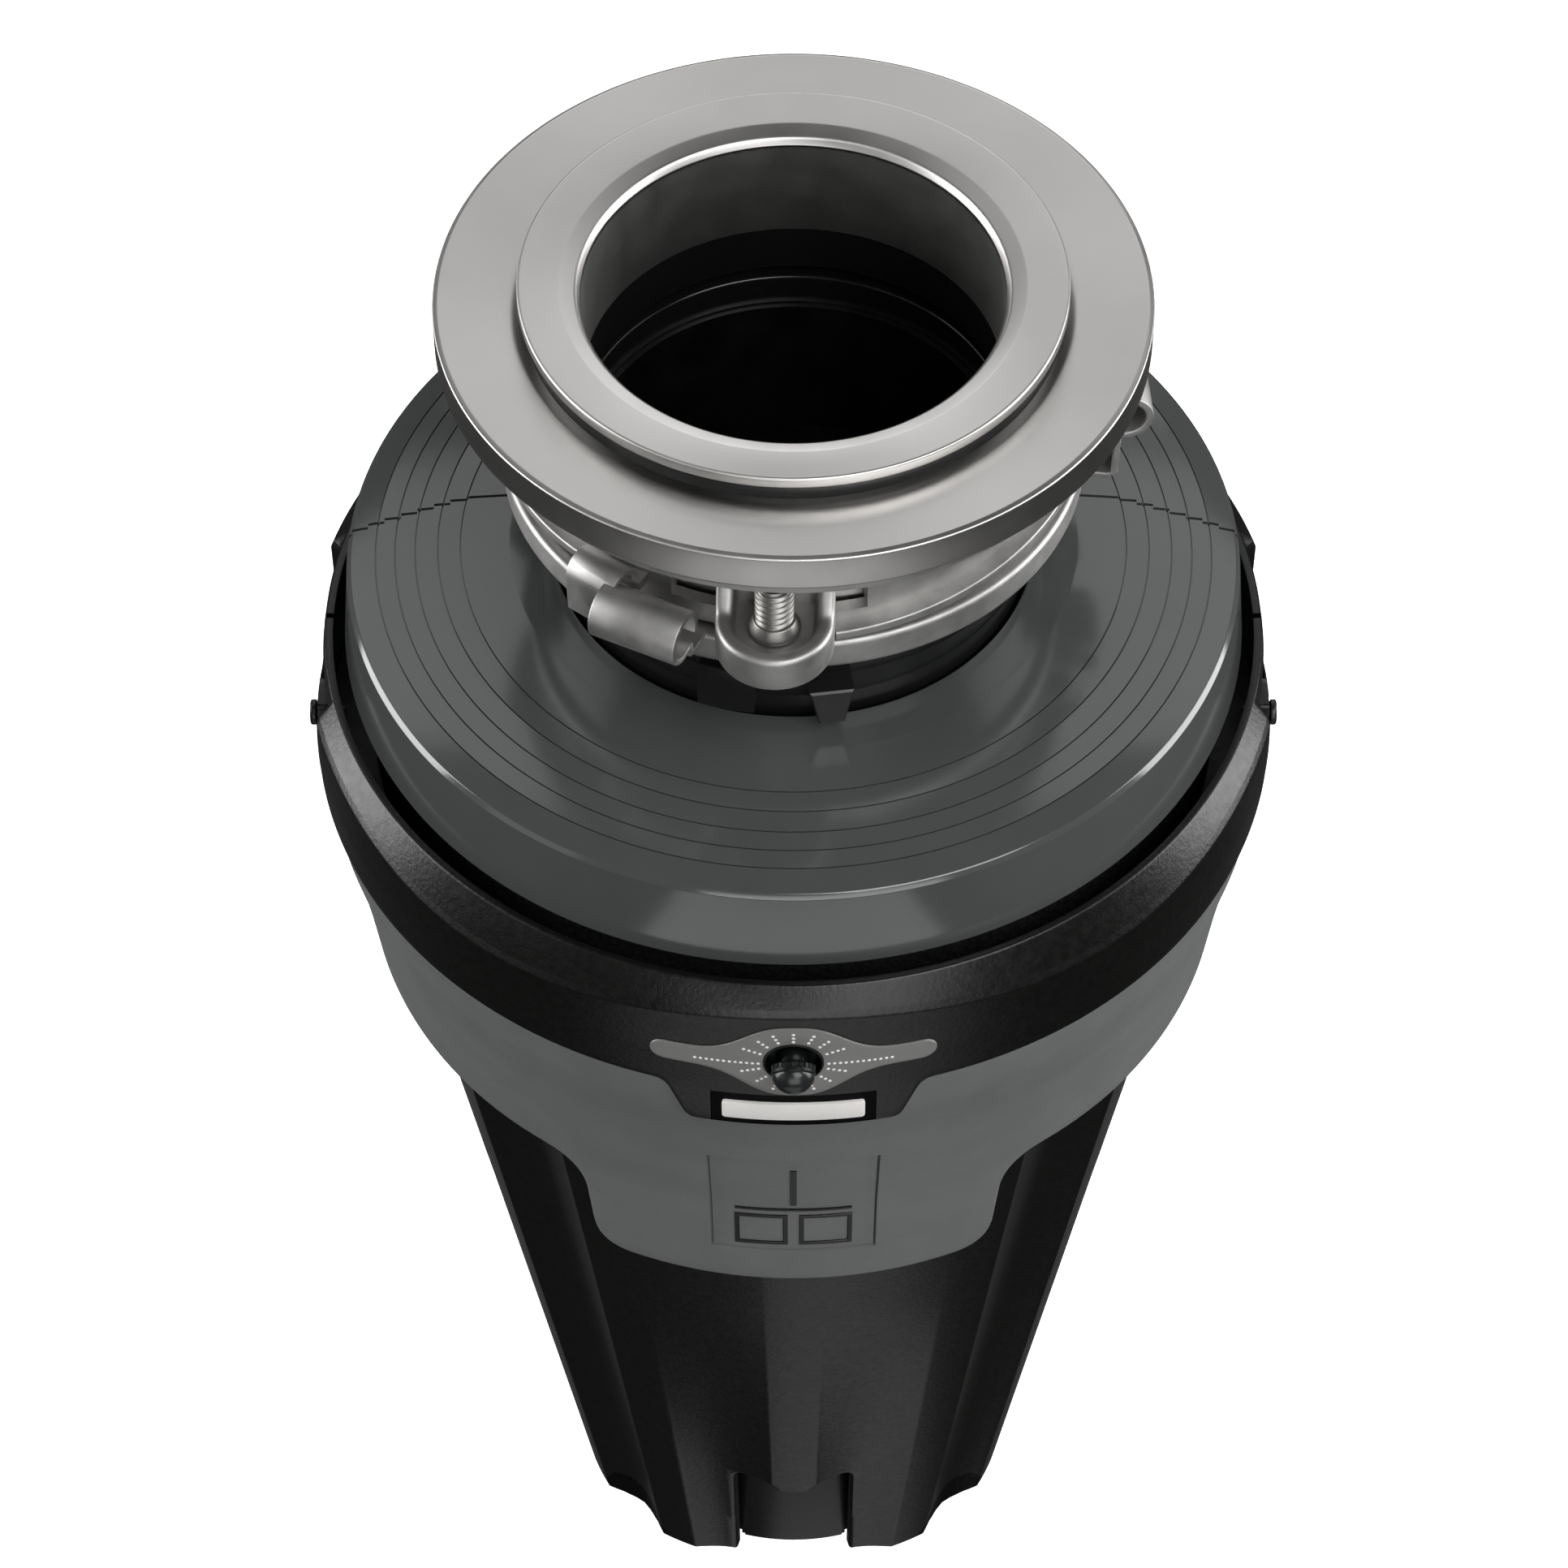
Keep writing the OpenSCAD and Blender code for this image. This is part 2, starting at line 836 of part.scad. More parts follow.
module end_bell() {
    floor_z = bell_z0 + 3.5;
    color(black)
        difference() {
            // Wall, floor and bearing boss as one turned shape
            rotate_extrude()
                polygon([
                    [0, bell_z0], [motor_r - 2.5, bell_z0], [motor_r - 2.5, 0.3], [motor_r, 0.3],
                    [motor_r, bell_z1],
                    [motor_r - 2.5, bell_z1], [motor_r - 2.5, floor_z], [17, floor_z], [17, 17.5], [14, 17.5],
                    [14, floor_z], [0, floor_z]
                ]);
            // The wall's lower edge is cut back between four tongues
            repeat(4, 45)
                sector(motor_r - 2.7, motor_r + 2, 0, bell_z0 + 0.4, 0, 30.5);
            // Holes for the reset button, the wiring, the bolts and the cord grommet
            translate([0, -24, 0])
                disc(5.15, 0, 10);
            centred_box([18, 7, 10], [0, wiring_y, 5]);
            repeat(2, bolt_azimuth)
                translate([0, -bolt_out, 0])
                    disc(2.3, 0, 10);
            translate([0, 0, cord_z])
                bar_y(7, 30, 45);
        }
}

module motor_can() {
    color(dark_steel)
        ring(motor_r - 2, motor_r, bell_z1, can_z1);
}

module magnets() {
    color([0.18, 0.18, 0.20])
        for (a = [-90, 90])
            sector(30.8, motor_r - 2, 52, 96, a, 62);
}

module armature_core() {
    slots = 12;
    color(dark_steel)
        translate([0, 0, 56])
            linear_extrude(36)
                difference() {
                    circle(r = 30);
                    circle(r = shaft_r);
                    for (i = [0 : slots - 1])
                        rotate(i * 360 / slots) {
                            translate([0, -31])
                                square([2.4, 6], center = true);
                            translate([0, -22])
                                circle(r = 4.2);
                            translate([0, -27])
                                square([2.4, 6], center = true);
                        }
                }
}

module armature_windings() {
    slots = 12;
    color(copper)
        union() {
            for (z = [50.8, 97.2])
                rotate_extrude()
                    translate([shaft_r + 2, z - 5.2])
                        union() {
                            square([17, 10.4]);
                            translate([17, 5.2])
                                circle(r = 5.2);
                        }
            // Coil sides in the slots
            for (i = [0 : slots - 1])
                rotate([0, 0, i * 360 / slots])
                    translate([0, -22, 55])
                        cylinder(r = 4.1, h = 38);
        }
}

module commutator() {
    bars = 12;
    color(copper)
        difference() {
            ring(shaft_r, 11, 29, 43);
            repeat(bars)
                centred_box([0.6, 2.4, 12], [0, -11, 35]);
        }
}

module motor_shaft() {
    color(steel)
        union() {
            disc(shaft_r, 8.6, 164);
            disc(shaft_r + 1.4, 17.6, 21);
            disc(shaft_r + 1.6, 107, 112.8);
        }
}

module upper_bearing() {
    color(steel)
        bearing(113, 14, 8);
}

module lower_bearing() {
    color(steel)
        bearing(9, 14, 8);
}

module shaft_seal() {
    color(rubber_black)
        rotate_extrude()
            difference() {
                translate([shaft_r + run_fit, 123])
                    square([11 - shaft_r - run_fit, 7]);
                translate([shaft_r + 1.4, 126])
                    square([1.8, 5]);
            }
}

module brush_plate() {
    color([0.32, 0.22, 0.14])
        difference() {
            ring(14, motor_r - 2.55, 25.6, 27.6);
            repeat(2, bolt_azimuth)
                translate([0, -bolt_out, 0])
                    disc(2.6, 20, 30);
        }
}

module brush_side(s) {
    rotate([0, 0, s > 0 ? 0 : 180])
        children();
}

module brush_holders() {
    color([0.75, 0.62, 0.30])
        for (s = [-1, 1])
            brush_side(s)
                difference() {
                    centred_box([18, 9.4, 14.4], [22, 0, 34.8]);
                    centred_box([16.2, 6.2, 8.2], [21, 0, 36]);
                }
}

module carbon_brushes() {
    color([0.10, 0.10, 0.11])
        for (s = [-1, 1])
            brush_side(s)
                centred_box([11, 6, 8], [17, 0, 36]);
}

// Coil spring behind a brush, as turns joined by short links
module coil_spring() {
    turns = 5;
    pitch = 1.4;
    coil_r = 2.2;
    wire = 0.7;
    for (i = [0 : turns - 1])
        translate([23 + i * pitch, 0, 36])
            rotate([0, 90, 0])
                ring(coil_r - wire / 2, coil_r + wire / 2, -wire / 2, wire / 2);
    for (i = [0 : turns - 2])
        centred_box([pitch, wire, wire], [23 + (i + 0.5) * pitch, (i % 2 == 0 ? 1 : -1) * coil_r, 36]);
}

module brush_springs() {
    color(steel)
        for (s = [-1, 1])
            brush_side(s)
                coil_spring();
}

module through_bolts() {
    color(dark_steel)
        repeat(2, bolt_azimuth)
            translate([0, -bolt_out, 0]) {
                disc(2.2, 3.9, 121);
                translate([0, 0, 1.4])
                    cylinder(r = 4, h = 2.6, $fn = 6);
            }
}

// ------------------------------------------------------------ grind chamber

module drain_chamber() {
    wall_in = hopper_r - 3.4;
    color(cast)
        difference() {
            union() {
                difference() {
                    disc(hopper_r - 0.5, can_z1, chamber_z1);
                    translate([0, 0, can_z1 + 3.5])
                        cylinder(r = wall_in, h = 60);
                }
                ring(hopper_r - 0.6, 57.6, chamber_z1 - 2.2, chamber_z1);
                disc(18, 112.6, 143);
                // Neck and collar of the discharge port
                translate([0, 0, outlet_z]) {
                    bar_y(14, 46, 62);
                    bar_y(22, 59.6, 80);
                }
                translate([0, 80, outlet_z])
                    rotate([90, 0, 0])
                        round_bar(outlet_screw_gap, 6, 6);
            }
            translate([0, 0, can_z1 + 3.5])
                ring(18, wall_in, 0, 60);
            // Bearing pocket, seal pocket and shaft hole
            disc(14, 100, 121);
            disc(11, 120, 131);
            disc(8, 130, 150);
            // Drain passage, outlet bore and its screw holes
            translate([0, 0, outlet_z]) {
                bar_y(12, 45, 80);
                bar_y(outlet_r, 62, 81);
                for (s = [-1, 1])
                    translate([s * outlet_screw_gap / 2, 0, 0])
                        bar_y(2.3, 73, 81);
            }
            repeat(2, bolt_azimuth)
                translate([0, -bolt_out, 0])
                    disc(2.25, 110, 121.05);
        }
}

module clamp_band() {
    color(steel)
        rotate_extrude()
            polygon([
                [55, 146.3], [58.9, 146.3], [58.9, 153.8], [55.4, 153.8], [55.4, 152.3],
                [57.7, 152.3], [57.7, 147.7], [55, 147.7]
            ]);
}

// Wall of the grind chamber, from the clamp band to the foot of the hopper's cone
module grind_housing() {
    r = hopper_r;
    t = 1.8;
    color(cast)
        difference() {
            rotate_extrude()
                polygon([
                    [r, cone_z0], [r, 152.2], [57.6, 152.2], [57.6, chamber_z1], [r - t, chamber_z1],
                    [r - t, cone_z0]
                ]);
            translate([0, 0, inlet_z])
                bar_y(inlet_r - 2.6, 40, 60);
        }
}

module hopper() {
    r = hopper_r;
    t = 1.8;
    color(cast)
        rotate_extrude()
            polygon([
                [neck_r, neck_z0], [40, 247], [50, 236], [r - 1, 226], [r, cone_z0], [r - t, cone_z0],
                [r - t - 1, 225.5], [48.6, 234.6], [38.9, 245.3], [neck_r - 2.6, neck_z0]
            ]);
}

module hopper_neck() {
    color(cast)
        ring(neck_r - 2.6, neck_r, neck_z0, 278.2);
}

module grind_ring() {
    teeth = 24;
    color(steel)
        difference() {
            ring(turntable_r + 0.5, hopper_r - 1.85, chamber_z1 + 0.6, 168);
            for (i = [0 : teeth - 1])
                rotate([0, 0, i * 360 / teeth])
                    centred_box([3.2, 2.6, 14], [0, -turntable_r - 0.4, 162]);
        }
}

module turntable() {
    drains = 8;
    color(steel)
        difference() {
            union() {
                disc(turntable_r, turntable_z, turntable_z + turntable_t);
                disc(13, 147.5, turntable_z + 0.1);
            }
            disc(shaft_r, 140, 160);
            repeat(2, 90)
                translate([0, -pivot_r, 0])
                    disc(3.4, 150, 160);
            for (i = [0 : drains - 1])
                rotate([0, 0, 22.5 + i * 45])
                    translate([0, -41, 150])
                        cylinder(r = 2.2, h = 10);
            for (i = [0 : 3 * drains - 1])
                rotate([0, 0, i * 15])
                    centred_box([3, 3, 10], [0, -turntable_r, 154]);
        }
}

module turntable_nut() {
    color(dark_steel)
        difference() {
            union() {
                translate([0, 0, turntable_z + turntable_t])
                    cylinder(r = 10, h = 6, $fn = 6);
                disc(10.6, turntable_z + turntable_t, turntable_z + turntable_t + 1);
            }
            disc(shaft_r, 150, 170);
        }
}

// Swivelling lug with a raised cutting toe at its outer end
module impeller() {
    difference() {
        union() {
            translate([4, 0, lug_z])
                round_bar(13, 6.4, lug_t);
            intersection() {
                translate([4, 0, lug_z])
                    round_bar(13, 6.4, 9.4);
                centred_box([7.6, 20, 20], [13.4, 0, lug_z + 8]);
            }
        }
        disc(3.4 + run_fit, 150, 170);
    }
}

module impeller_right() {
    color(steel)
        translate([pivot_r, 0, 0])
            impeller();
}

module impeller_left() {
    color(steel)
        rotate([0, 0, 180])
            translate([pivot_r, 0, 0])
                impeller();
}

module impeller_rivets() {
    color(dark_steel)
        for (s = [-1, 1])
            translate([s * pivot_r, 0, 0]) {
                disc(3.4, 151.6, 160.6);
                disc(5.2, 151.6, turntable_z);
                disc(5.4, 160.4, 162);
            }
}

// Foam that fills the space between the grind chamber and the covers
module foam() {
    difference() {
        rotate_extrude()
            polygon([
                [hopper_r + 0.5, 158], [61.2, 158], [64.6, 183], [70.5, 190], [72.5, 212],
                [72.5, 236], [66, 246], [46, 249.6], [41, 247.8], [51, 236.6], [hopper_r - 0.3, 226.4],
                [hopper_r + 0.5, 214]
            ]);
        translate([0, 0, inlet_z])
            bar_y(hose_window_r, 40, 90);
    }
}

module insulation_front() {
    color([0.16, 0.16, 0.17])
        intersection() {
            foam();
            translate([-80, -80.2, 150])
                cube([160, 80, 110]);
        }
}

module insulation_rear() {
    color([0.16, 0.16, 0.17])
        intersection() {
            foam();
            translate([-80, 0.2, 150])
                cube([160, 80, 110]);
        }
}

// ------------------------------------------------------- base and connections

module reset_button() {
    color([0.65, 0.08, 0.06])
        translate([0, -24, 0])
            union() {
                disc(4.8, 1.2, 8);
                disc(6.2, 7.8, 9);
            }
}

module reset_switch() {
    color(black)
        union() {
            centred_box([15, 11, 9], [0, -25, 17.5]);
            for (s = [-1, 1])
                centred_box([1, 5, 4.4], [s * 4.5, -25, 23.4]);
        }
}

module cord_grommet() {
    color(rubber_black)
        translate([0, 0, cord_z])
            difference() {
                union() {
                    bar_y(6.95, 35.5, 43);
                    bar_y(8.6, 39.4, 41.4);
                    bar_y(8.2, 33.6, 35.6);
                }
                bar_y(cord_hole_r, 30, 45);
            }
}

module wiring_cover() {
    color(dark_steel)
        difference() {
            centred_box([26, 9.4, 1.4], [0, wiring_y, 3.2]);
            for (s = [-1, 1])
                translate([s * 10.6, wiring_y, 0])
                    disc(1.65, 0, 5);
        }
}

module base_screws() {
    color(steel)
        for (s = [-1, 1])
            translate([s * 10.6, wiring_y, 0])
                difference() {
                    union() {
                        disc(1.5, 2, 3.95);
                        disc(2.8, 1.3, 2.5);
                    }
                    centred_box([4, 0.8, 1.2], [0, 0, 1.3]);
                }
}

module dishwasher_inlet() {
    color(black)
        translate([0, 0, inlet_z])
            difference() {
                union() {
                    bar_y(inlet_r, 57, reach_y);
                    bar_y(15, 56.2, 58.6);
                    bar_y(inlet_r - 2.7, 53.6, 57);
                }
                bar_y(inlet_r - 3.6, 50, reach_y + 1);
            }
}

module inlet_knockout() {
    color(black)
        translate([0, 0, inlet_z])
            bar_y(inlet_r - 3.65, 55, 56.6);
}

sink_flange();
sink_gasket();
backup_ring();
mounting_ring();
mounting_screws();
snap_ring();
lock_ring();
mounting_gasket();
splash_guard_trim();
splash_guard_rubber();
top_cover_front();
top_cover_rear();
band_front();
band_rear();
band_pins();
lamp_panel();
lamp_bezel();
lamp_swivel_cup();
lamp_head();
lamp_lens();
lamp_board();
name_plate();
belt_cover();
rating_plate();
lower_shell();
end_bell();
motor_can();
magnets();
armature_core();
armature_windings();
commutator();
motor_shaft();
upper_bearing();
lower_bearing();
shaft_seal();
brush_plate();
brush_holders();
carbon_brushes();
brush_springs();
through_bolts();
drain_chamber();
clamp_band();
grind_housing();
hopper();
hopper_neck();
grind_ring();
turntable();
turntable_nut();
impeller_left();
impeller_right();
impeller_rivets();
insulation_front();
insulation_rear();
reset_button();
reset_switch();
cord_grommet();
wiring_cover();
base_screws();
dishwasher_inlet();
inlet_knockout();
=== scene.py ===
"""Looks of the kitchen garbage disposal. Lengths in the shape functions are millimetres, azimuths are degrees
round the centre line, 0 at the front (-Y) and positive towards +X."""
import json
import math

import bmesh
import bpy
from mathutils import Matrix, Vector

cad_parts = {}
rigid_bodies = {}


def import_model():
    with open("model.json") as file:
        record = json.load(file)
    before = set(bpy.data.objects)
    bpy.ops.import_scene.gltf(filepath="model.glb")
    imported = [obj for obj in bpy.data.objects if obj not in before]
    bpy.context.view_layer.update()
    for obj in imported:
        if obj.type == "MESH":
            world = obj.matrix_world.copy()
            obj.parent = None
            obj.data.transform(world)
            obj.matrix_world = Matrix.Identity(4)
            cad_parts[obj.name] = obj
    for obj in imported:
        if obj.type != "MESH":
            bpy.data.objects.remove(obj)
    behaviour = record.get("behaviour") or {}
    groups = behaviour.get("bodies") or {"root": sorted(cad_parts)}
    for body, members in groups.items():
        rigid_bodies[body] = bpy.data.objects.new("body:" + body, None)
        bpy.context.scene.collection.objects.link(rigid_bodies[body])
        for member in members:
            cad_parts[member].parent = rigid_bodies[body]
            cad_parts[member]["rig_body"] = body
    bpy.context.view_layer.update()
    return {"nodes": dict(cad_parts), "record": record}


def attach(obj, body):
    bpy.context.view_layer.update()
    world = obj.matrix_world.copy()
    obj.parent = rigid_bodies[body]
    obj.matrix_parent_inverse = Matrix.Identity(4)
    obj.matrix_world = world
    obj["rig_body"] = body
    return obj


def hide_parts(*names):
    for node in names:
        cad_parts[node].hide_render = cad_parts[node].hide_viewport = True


MM = 0.001

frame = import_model()
nodes = frame["nodes"]
slot_of = {p["node"]: p["material_slot"] for p in frame["record"]["subparts"]}


# ---------------------------------------------------------------- outlines

def lerp(a, b, t):
    return a + (b - a) * t


def lookup(x, table):
    """Straight-line reading of a table of (x, y) points."""
    if x <= table[0][0]:
        return table[0][1]
    for (x0, y0), (x1, y1) in zip(table, table[1:]):
        if x <= x1:
            return lerp(y0, y1, (x - x0) / (x1 - x0))
    return table[-1][1]


def rounded(points, radius, steps=4, closed=True):
    """The outline with its corners rounded. A point may carry its own radius as a third number."""
    out = []
    n = len(points)
    for i, point in enumerate(points):
        r = point[2] if len(point) > 2 else radius
        if r <= 0 or (not closed and i in (0, n - 1)):
            out.append((point[0], point[1]))
            continue
        p = Vector(point[:2])
        to_a = Vector(points[i - 1][:2]) - p
        to_b = Vector(points[(i + 1) % n][:2]) - p
        half = to_a.angle(to_b) / 2
        reach = min(r / max(1e-4, math.tan(half)), 0.46 * to_a.length, 0.46 * to_b.length)
        a = p + to_a.normalized() * reach
        b = p + to_b.normalized() * reach
        for k in range(steps + 1):
            t = k / steps
            q = a * (1 - t) ** 2 + p * 2 * t * (1 - t) + b * t ** 2
            out.append((q.x, q.y))
    return out


def resampled(points, count):
    """The open outline as count points at equal distances along it."""
    lengths = [0.0]
    for a, b in zip(points, points[1:]):
        lengths.append(lengths[-1] + math.dist(a, b))
    out = []
    i = 0
    for k in range(count):
        s = lengths[-1] * k / (count - 1)
        while i < len(points) - 2 and lengths[i + 1] < s:
            i += 1
        t = (s - lengths[i]) / max(1e-9, lengths[i + 1] - lengths[i])
        out.append((lerp(points[i][0], points[i + 1][0], t), lerp(points[i][1], points[i + 1][1], t)))
    return out


def dense(points, step):
    """The closed outline with points added, so that they stand about step apart."""
    out = []
    for p, q in zip(points, points[1:] + points[:1]):
        parts = max(1, round(math.dist(p, q) / step))
        out += [(lerp(p[0], q[0], k / parts), lerp(p[1], q[1], k / parts)) for k in range(parts)]
    return out


def outline_normals(points):
    """Outward unit normals of a closed outline that runs anticlockwise."""
    out = []
    for a, b in zip(points[-1:] + points[:-1], points[1:] + points[:1]):
        d = Vector((b[0] - a[0], b[1] - a[1])).normalized()
        out.append((d.y, -d.x))
    return out


def polar(r, a, z):
    a = math.radians(a)
    return (r * math.sin(a), -r * math.cos(a), z)


def circle(r, z, count):
    """Outline in x and z, round a centre on the middle plane."""
    return [(r * math.cos(t), z + r * math.sin(t)) for t in (2 * math.pi * i / count for i in range(count))]


def spread(a0, a1, count):
    return [lerp(a0, a1, k / count) for k in range(count + 1)]


# ------------------------------------------------------------------ meshes

def loft(sections, wrap=False, skip=()):
    """Joins closed loops of points into a tube: wrap closes it on itself, else its ends are capped.
    Strips that start at a skipped point are left out."""
    n = len(sections[0])
    assert all(len(s) == n for s in sections)
    verts = [v for s in sections for v in s]
    faces = []
    for i in range(len(sections) if wrap else len(sections) - 1):
        j = (i + 1) % len(sections)
        for k in range(n):
            if k in skip:
                continue
            m = (k + 1) % n
            faces.append((i * n + k, i * n + m, j * n + m, j * n + k))
    if not wrap:
        faces.append(tuple(range(n)))
        faces.append(tuple(range(len(verts) - 1, len(verts) - 1 - n, -1)))
    return verts, faces


def lathe(profile, segments=240):
    """Turns an outline of (r, z) points round the centre line."""
    return loft([[polar(r, a, z) for r, z in profile] for a in spread(0, 360, segments)[:-1]], wrap=True)


def capped_lathe(profile, segments=64):
    """Turns an open outline that starts and ends on the axis, into a closed solid."""
    verts, faces, n = [], [], len(profile)
    for a in spread(0, 360, segments)[:-1]:
        verts += [polar(r, a, z) for r, z in profile]
    for i in range(segments):
        j = (i + 1) % segments
        for k in range(n - 1):
            faces.append((i * n + k, i * n + k + 1, j * n + k + 1, j * n + k))
    return verts, faces


def moved(shape, matrix):
    verts, faces = shape
    return [tuple(matrix @ Vector(v)) for v in verts], faces


def joined(*shapes):
    verts, faces = [], []
    for v, f in shapes:
        start = len(verts)
        verts += v
        faces += [tuple(i + start for i in face) for face in f]
    return verts, faces


def prism(outline, y0, y1):
    """An outline of (x, z) points pushed along Y."""
    return loft([[(x, y, z) for x, z in outline] for y in (y0, y1)])


def turn(azimuth):
    return Matrix.Rotation(math.radians(azimuth), 4, "Z")


def raw_object(name, shape):
    verts, faces = shape
    mesh = bpy.data.meshes.new(name)
    mesh.from_pydata([(x * MM, y * MM, z * MM) for x, y, z in verts], [], faces)
    bm = bmesh.new()
    bm.from_mesh(mesh)
    bmesh.ops.remove_doubles(bm, verts=bm.verts, dist=1e-7)
    bmesh.ops.recalc_face_normals(bm, faces=bm.faces)
    bm.to_mesh(mesh)
    bm.free()
    obj = bpy.data.objects.new(name, mesh)
    bpy.context.scene.collection.objects.link(obj)
    return obj


def boolean(obj, operation, shapes):
    """Adds the shapes to the object, cuts them from it or crops it to them."""
    for shape in shapes:
        tool = raw_object("tool", shape)
        mod = obj.modifiers.new("b", "BOOLEAN")
        mod.operation = operation
        mod.solver = "MANIFOLD"
        mod.object = tool
        dg = bpy.context.evaluated_depsgraph_get()
        mesh = bpy.data.meshes.new_from_object(obj.evaluated_get(dg))
        obj.modifiers.clear()
        old, obj.data = obj.data, mesh
        bpy.data.meshes.remove(old)
        bpy.data.objects.remove(tool)


def piece(name, node, shape, cuts=(), adds=(), crops=(), sharp=32, finish=None, hides=True):
    """A finished piece. It rides with the node's body, takes its slot and, if it hides, stands for the node."""
    obj = raw_object(name, shape)
    boolean(obj, "UNION", adds)
    boolean(obj, "DIFFERENCE", cuts)
    boolean(obj, "INTERSECT", crops)
    obj.data.name = name
    obj.data.shade_smooth()
    obj.data.set_sharp_from_angle(angle=math.radians(sharp))
    obj.data.materials.clear()
    obj.data.materials.append(finish or finish_of(slot_of[node]))
    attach(obj, nodes[node]["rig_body"])
    if hides:
        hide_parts(node)


# --------------------------------------------------------------- materials

class Paint:
    """A Principled material with noise-driven colour, roughness and bump in object space."""

    def __init__(self, name, **values):
        self.mat = bpy.data.materials.new(name)
        self.mat.use_nodes = True
        self.tree = self.mat.node_tree
        self.shader = self.tree.nodes["Principled BSDF"]
        for key, value in values.items():
            self.shader.inputs[key.replace("_", " ")].default_value = value
        self.coord = self.tree.nodes.new("ShaderNodeTexCoord").outputs["Object"]

    def node(self, kind, **values):
        n = self.tree.nodes.new(kind)
        for key, value in values.items():
            n.inputs[key.replace("_", " ")].default_value = value
        return n

    def link(self, a, b):
        self.tree.links.new(a, b)

    def noise(self, size_mm, detail=3.0, stretch=(1, 1, 1), roughness=0.5):
        """Noise whose features are about size_mm across."""
        mapping = self.node("ShaderNodeMapping", Scale=stretch)
        self.link(self.coord, mapping.inputs["Vector"])
        n = self.node("ShaderNodeTexNoise", Scale=1 / (size_mm * MM), Detail=detail, Roughness=roughness)
        self.link(mapping.outputs["Vector"], n.inputs["Vector"])
        return n.outputs["Fac"]

    def colour(self, fac, dark, light, low=0.35, high=0.65):
        n = self.node("ShaderNodeValToRGB")
        n.color_ramp.elements[0].position = low
        n.color_ramp.elements[1].position = high
        n.color_ramp.elements[0].color = (*dark, 1)
        n.color_ramp.elements[1].color = (*light, 1)
        self.link(fac, n.inputs["Fac"])
        self.link(n.outputs["Color"], self.shader.inputs["Base Color"])

    def rough(self, fac, low, high):
        """Roughness from low to high with the noise."""
        n = self.node("ShaderNodeMapRange", From_Min=0.3, From_Max=0.7, To_Min=low, To_Max=high)
        self.link(fac, n.inputs["Value"])
        self.link(n.outputs["Result"], self.shader.inputs["Roughness"])

    def bump(self, fac, height_mm):
        n = self.node("ShaderNodeBump", Strength=1.0, Distance=height_mm * MM)
        self.link(fac, n.inputs["Height"])
        self.link(n.outputs["Normal"], self.shader.inputs["Normal"])

    def round_brushing(self, amount):
        """Brushing that runs round the centre line."""
        tangent = self.tree.nodes.new("ShaderNodeTangent")
        tangent.direction_type = "RADIAL"
        tangent.axis = "Z"
        self.shader.inputs["Anisotropic"].default_value = amount
        self.link(tangent.outputs["Tangent"], self.shader.inputs["Tangent"])


def shade(colour, factor):
    return tuple(c * factor for c in colour)


def satin_metal(name, colour, rough, brush, smudge, grain_mm, grain):
    p = Paint(name, Metallic=1.0)
    cloud = p.noise(14, 4)
    p.colour(cloud, shade(colour, 1 - smudge), shade(colour, 1 + smudge * 0.6))
    p.rough(p.noise(6, 5), *rough)
    p.bump(p.noise(grain_mm, 2, (1, 1, 3)), grain)
    if brush:
        p.round_brushing(brush)
    return p.mat


def plastic(name, colour, rough, grain_mm, grain, specular, mottle, coat=0.0):
    p = Paint(name, Specular_IOR_Level=specular, Coat_Weight=coat, Coat_Roughness=0.12)
    p.colour(p.noise(9, 3), shade(colour, 1 - mottle), shade(colour, 1 + mottle))
    p.rough(p.noise(grain_mm * 2, 3), *rough)
    if grain:
        p.bump(p.noise(grain_mm, 2.5, roughness=0.6), grain)
    return p.mat


def zinc_steel():
    """Stamped and burnished steel, smudged where it was drawn."""
    p = Paint("zinc_steel", Metallic=1.0)
    cloud = p.noise(5, 6, roughness=0.62)
    p.colour(cloud, (0.39, 0.386, 0.38), (0.47, 0.465, 0.457), 0.36, 0.62)
    p.rough(p.noise(3, 5), 0.45, 0.54)
    p.bump(p.noise(0.5, 3), 0.002)
    return p.mat


def smoked_lens():
    p = Paint("smoked_lens", Specular_IOR_Level=0.5)
    p.colour(p.noise(2.5, 2), (0.010, 0.012, 0.012), (0.013, 0.016, 0.016))
    p.rough(p.noise(2, 2), 0.26, 0.3)
    return p.mat


def wound_copper():
    p = Paint("wound_copper", Metallic=0.9)
    wave = p.node("ShaderNodeTexWave", Scale=520.0, Distortion=0.6)
    wave.bands_direction = "Z"
    p.link(p.coord, wave.inputs["Vector"])
    p.colour(wave.outputs["Fac"], (0.30, 0.10, 0.035), (0.66, 0.29, 0.12), 0.1, 0.9)
    p.rough(p.noise(1.2, 3), 0.25, 0.42)
    p.bump(wave.outputs["Fac"], 0.15)
    return p.mat


def sheet_stack():
    """Edges of stacked sheet steel."""
    p = Paint("sheet_stack", Metallic=0.9)
    wave = p.node("ShaderNodeTexWave", Scale=400.0)
    wave.bands_direction = "Z"
    p.link(p.coord, wave.inputs["Vector"])
    p.colour(wave.outputs["Fac"], (0.10, 0.10, 0.10), (0.30, 0.29, 0.29), 0.2, 0.8)
    p.rough(p.noise(2, 4), 0.35, 0.6)
    p.bump(wave.outputs["Fac"], 0.03)
    return p.mat


def foam():
    p = Paint("foam", Specular_IOR_Level=0.2)
    cells = p.node("ShaderNodeTexVoronoi", Scale=900.0)
    p.link(p.coord, cells.inputs["Vector"])
    # Near-black colours: painted shade where the foam shows in the gap between the top cover and the band; the
    # cell pattern is the foam's own texture.
    p.colour(cells.outputs["Distance"], (0.012, 0.012, 0.013), (0.006, 0.006, 0.006), 0.1, 0.7)
    p.rough(p.noise(2, 2), 0.85, 0.98)
    p.bump(cells.outputs["Distance"], 0.35)
    return p.mat


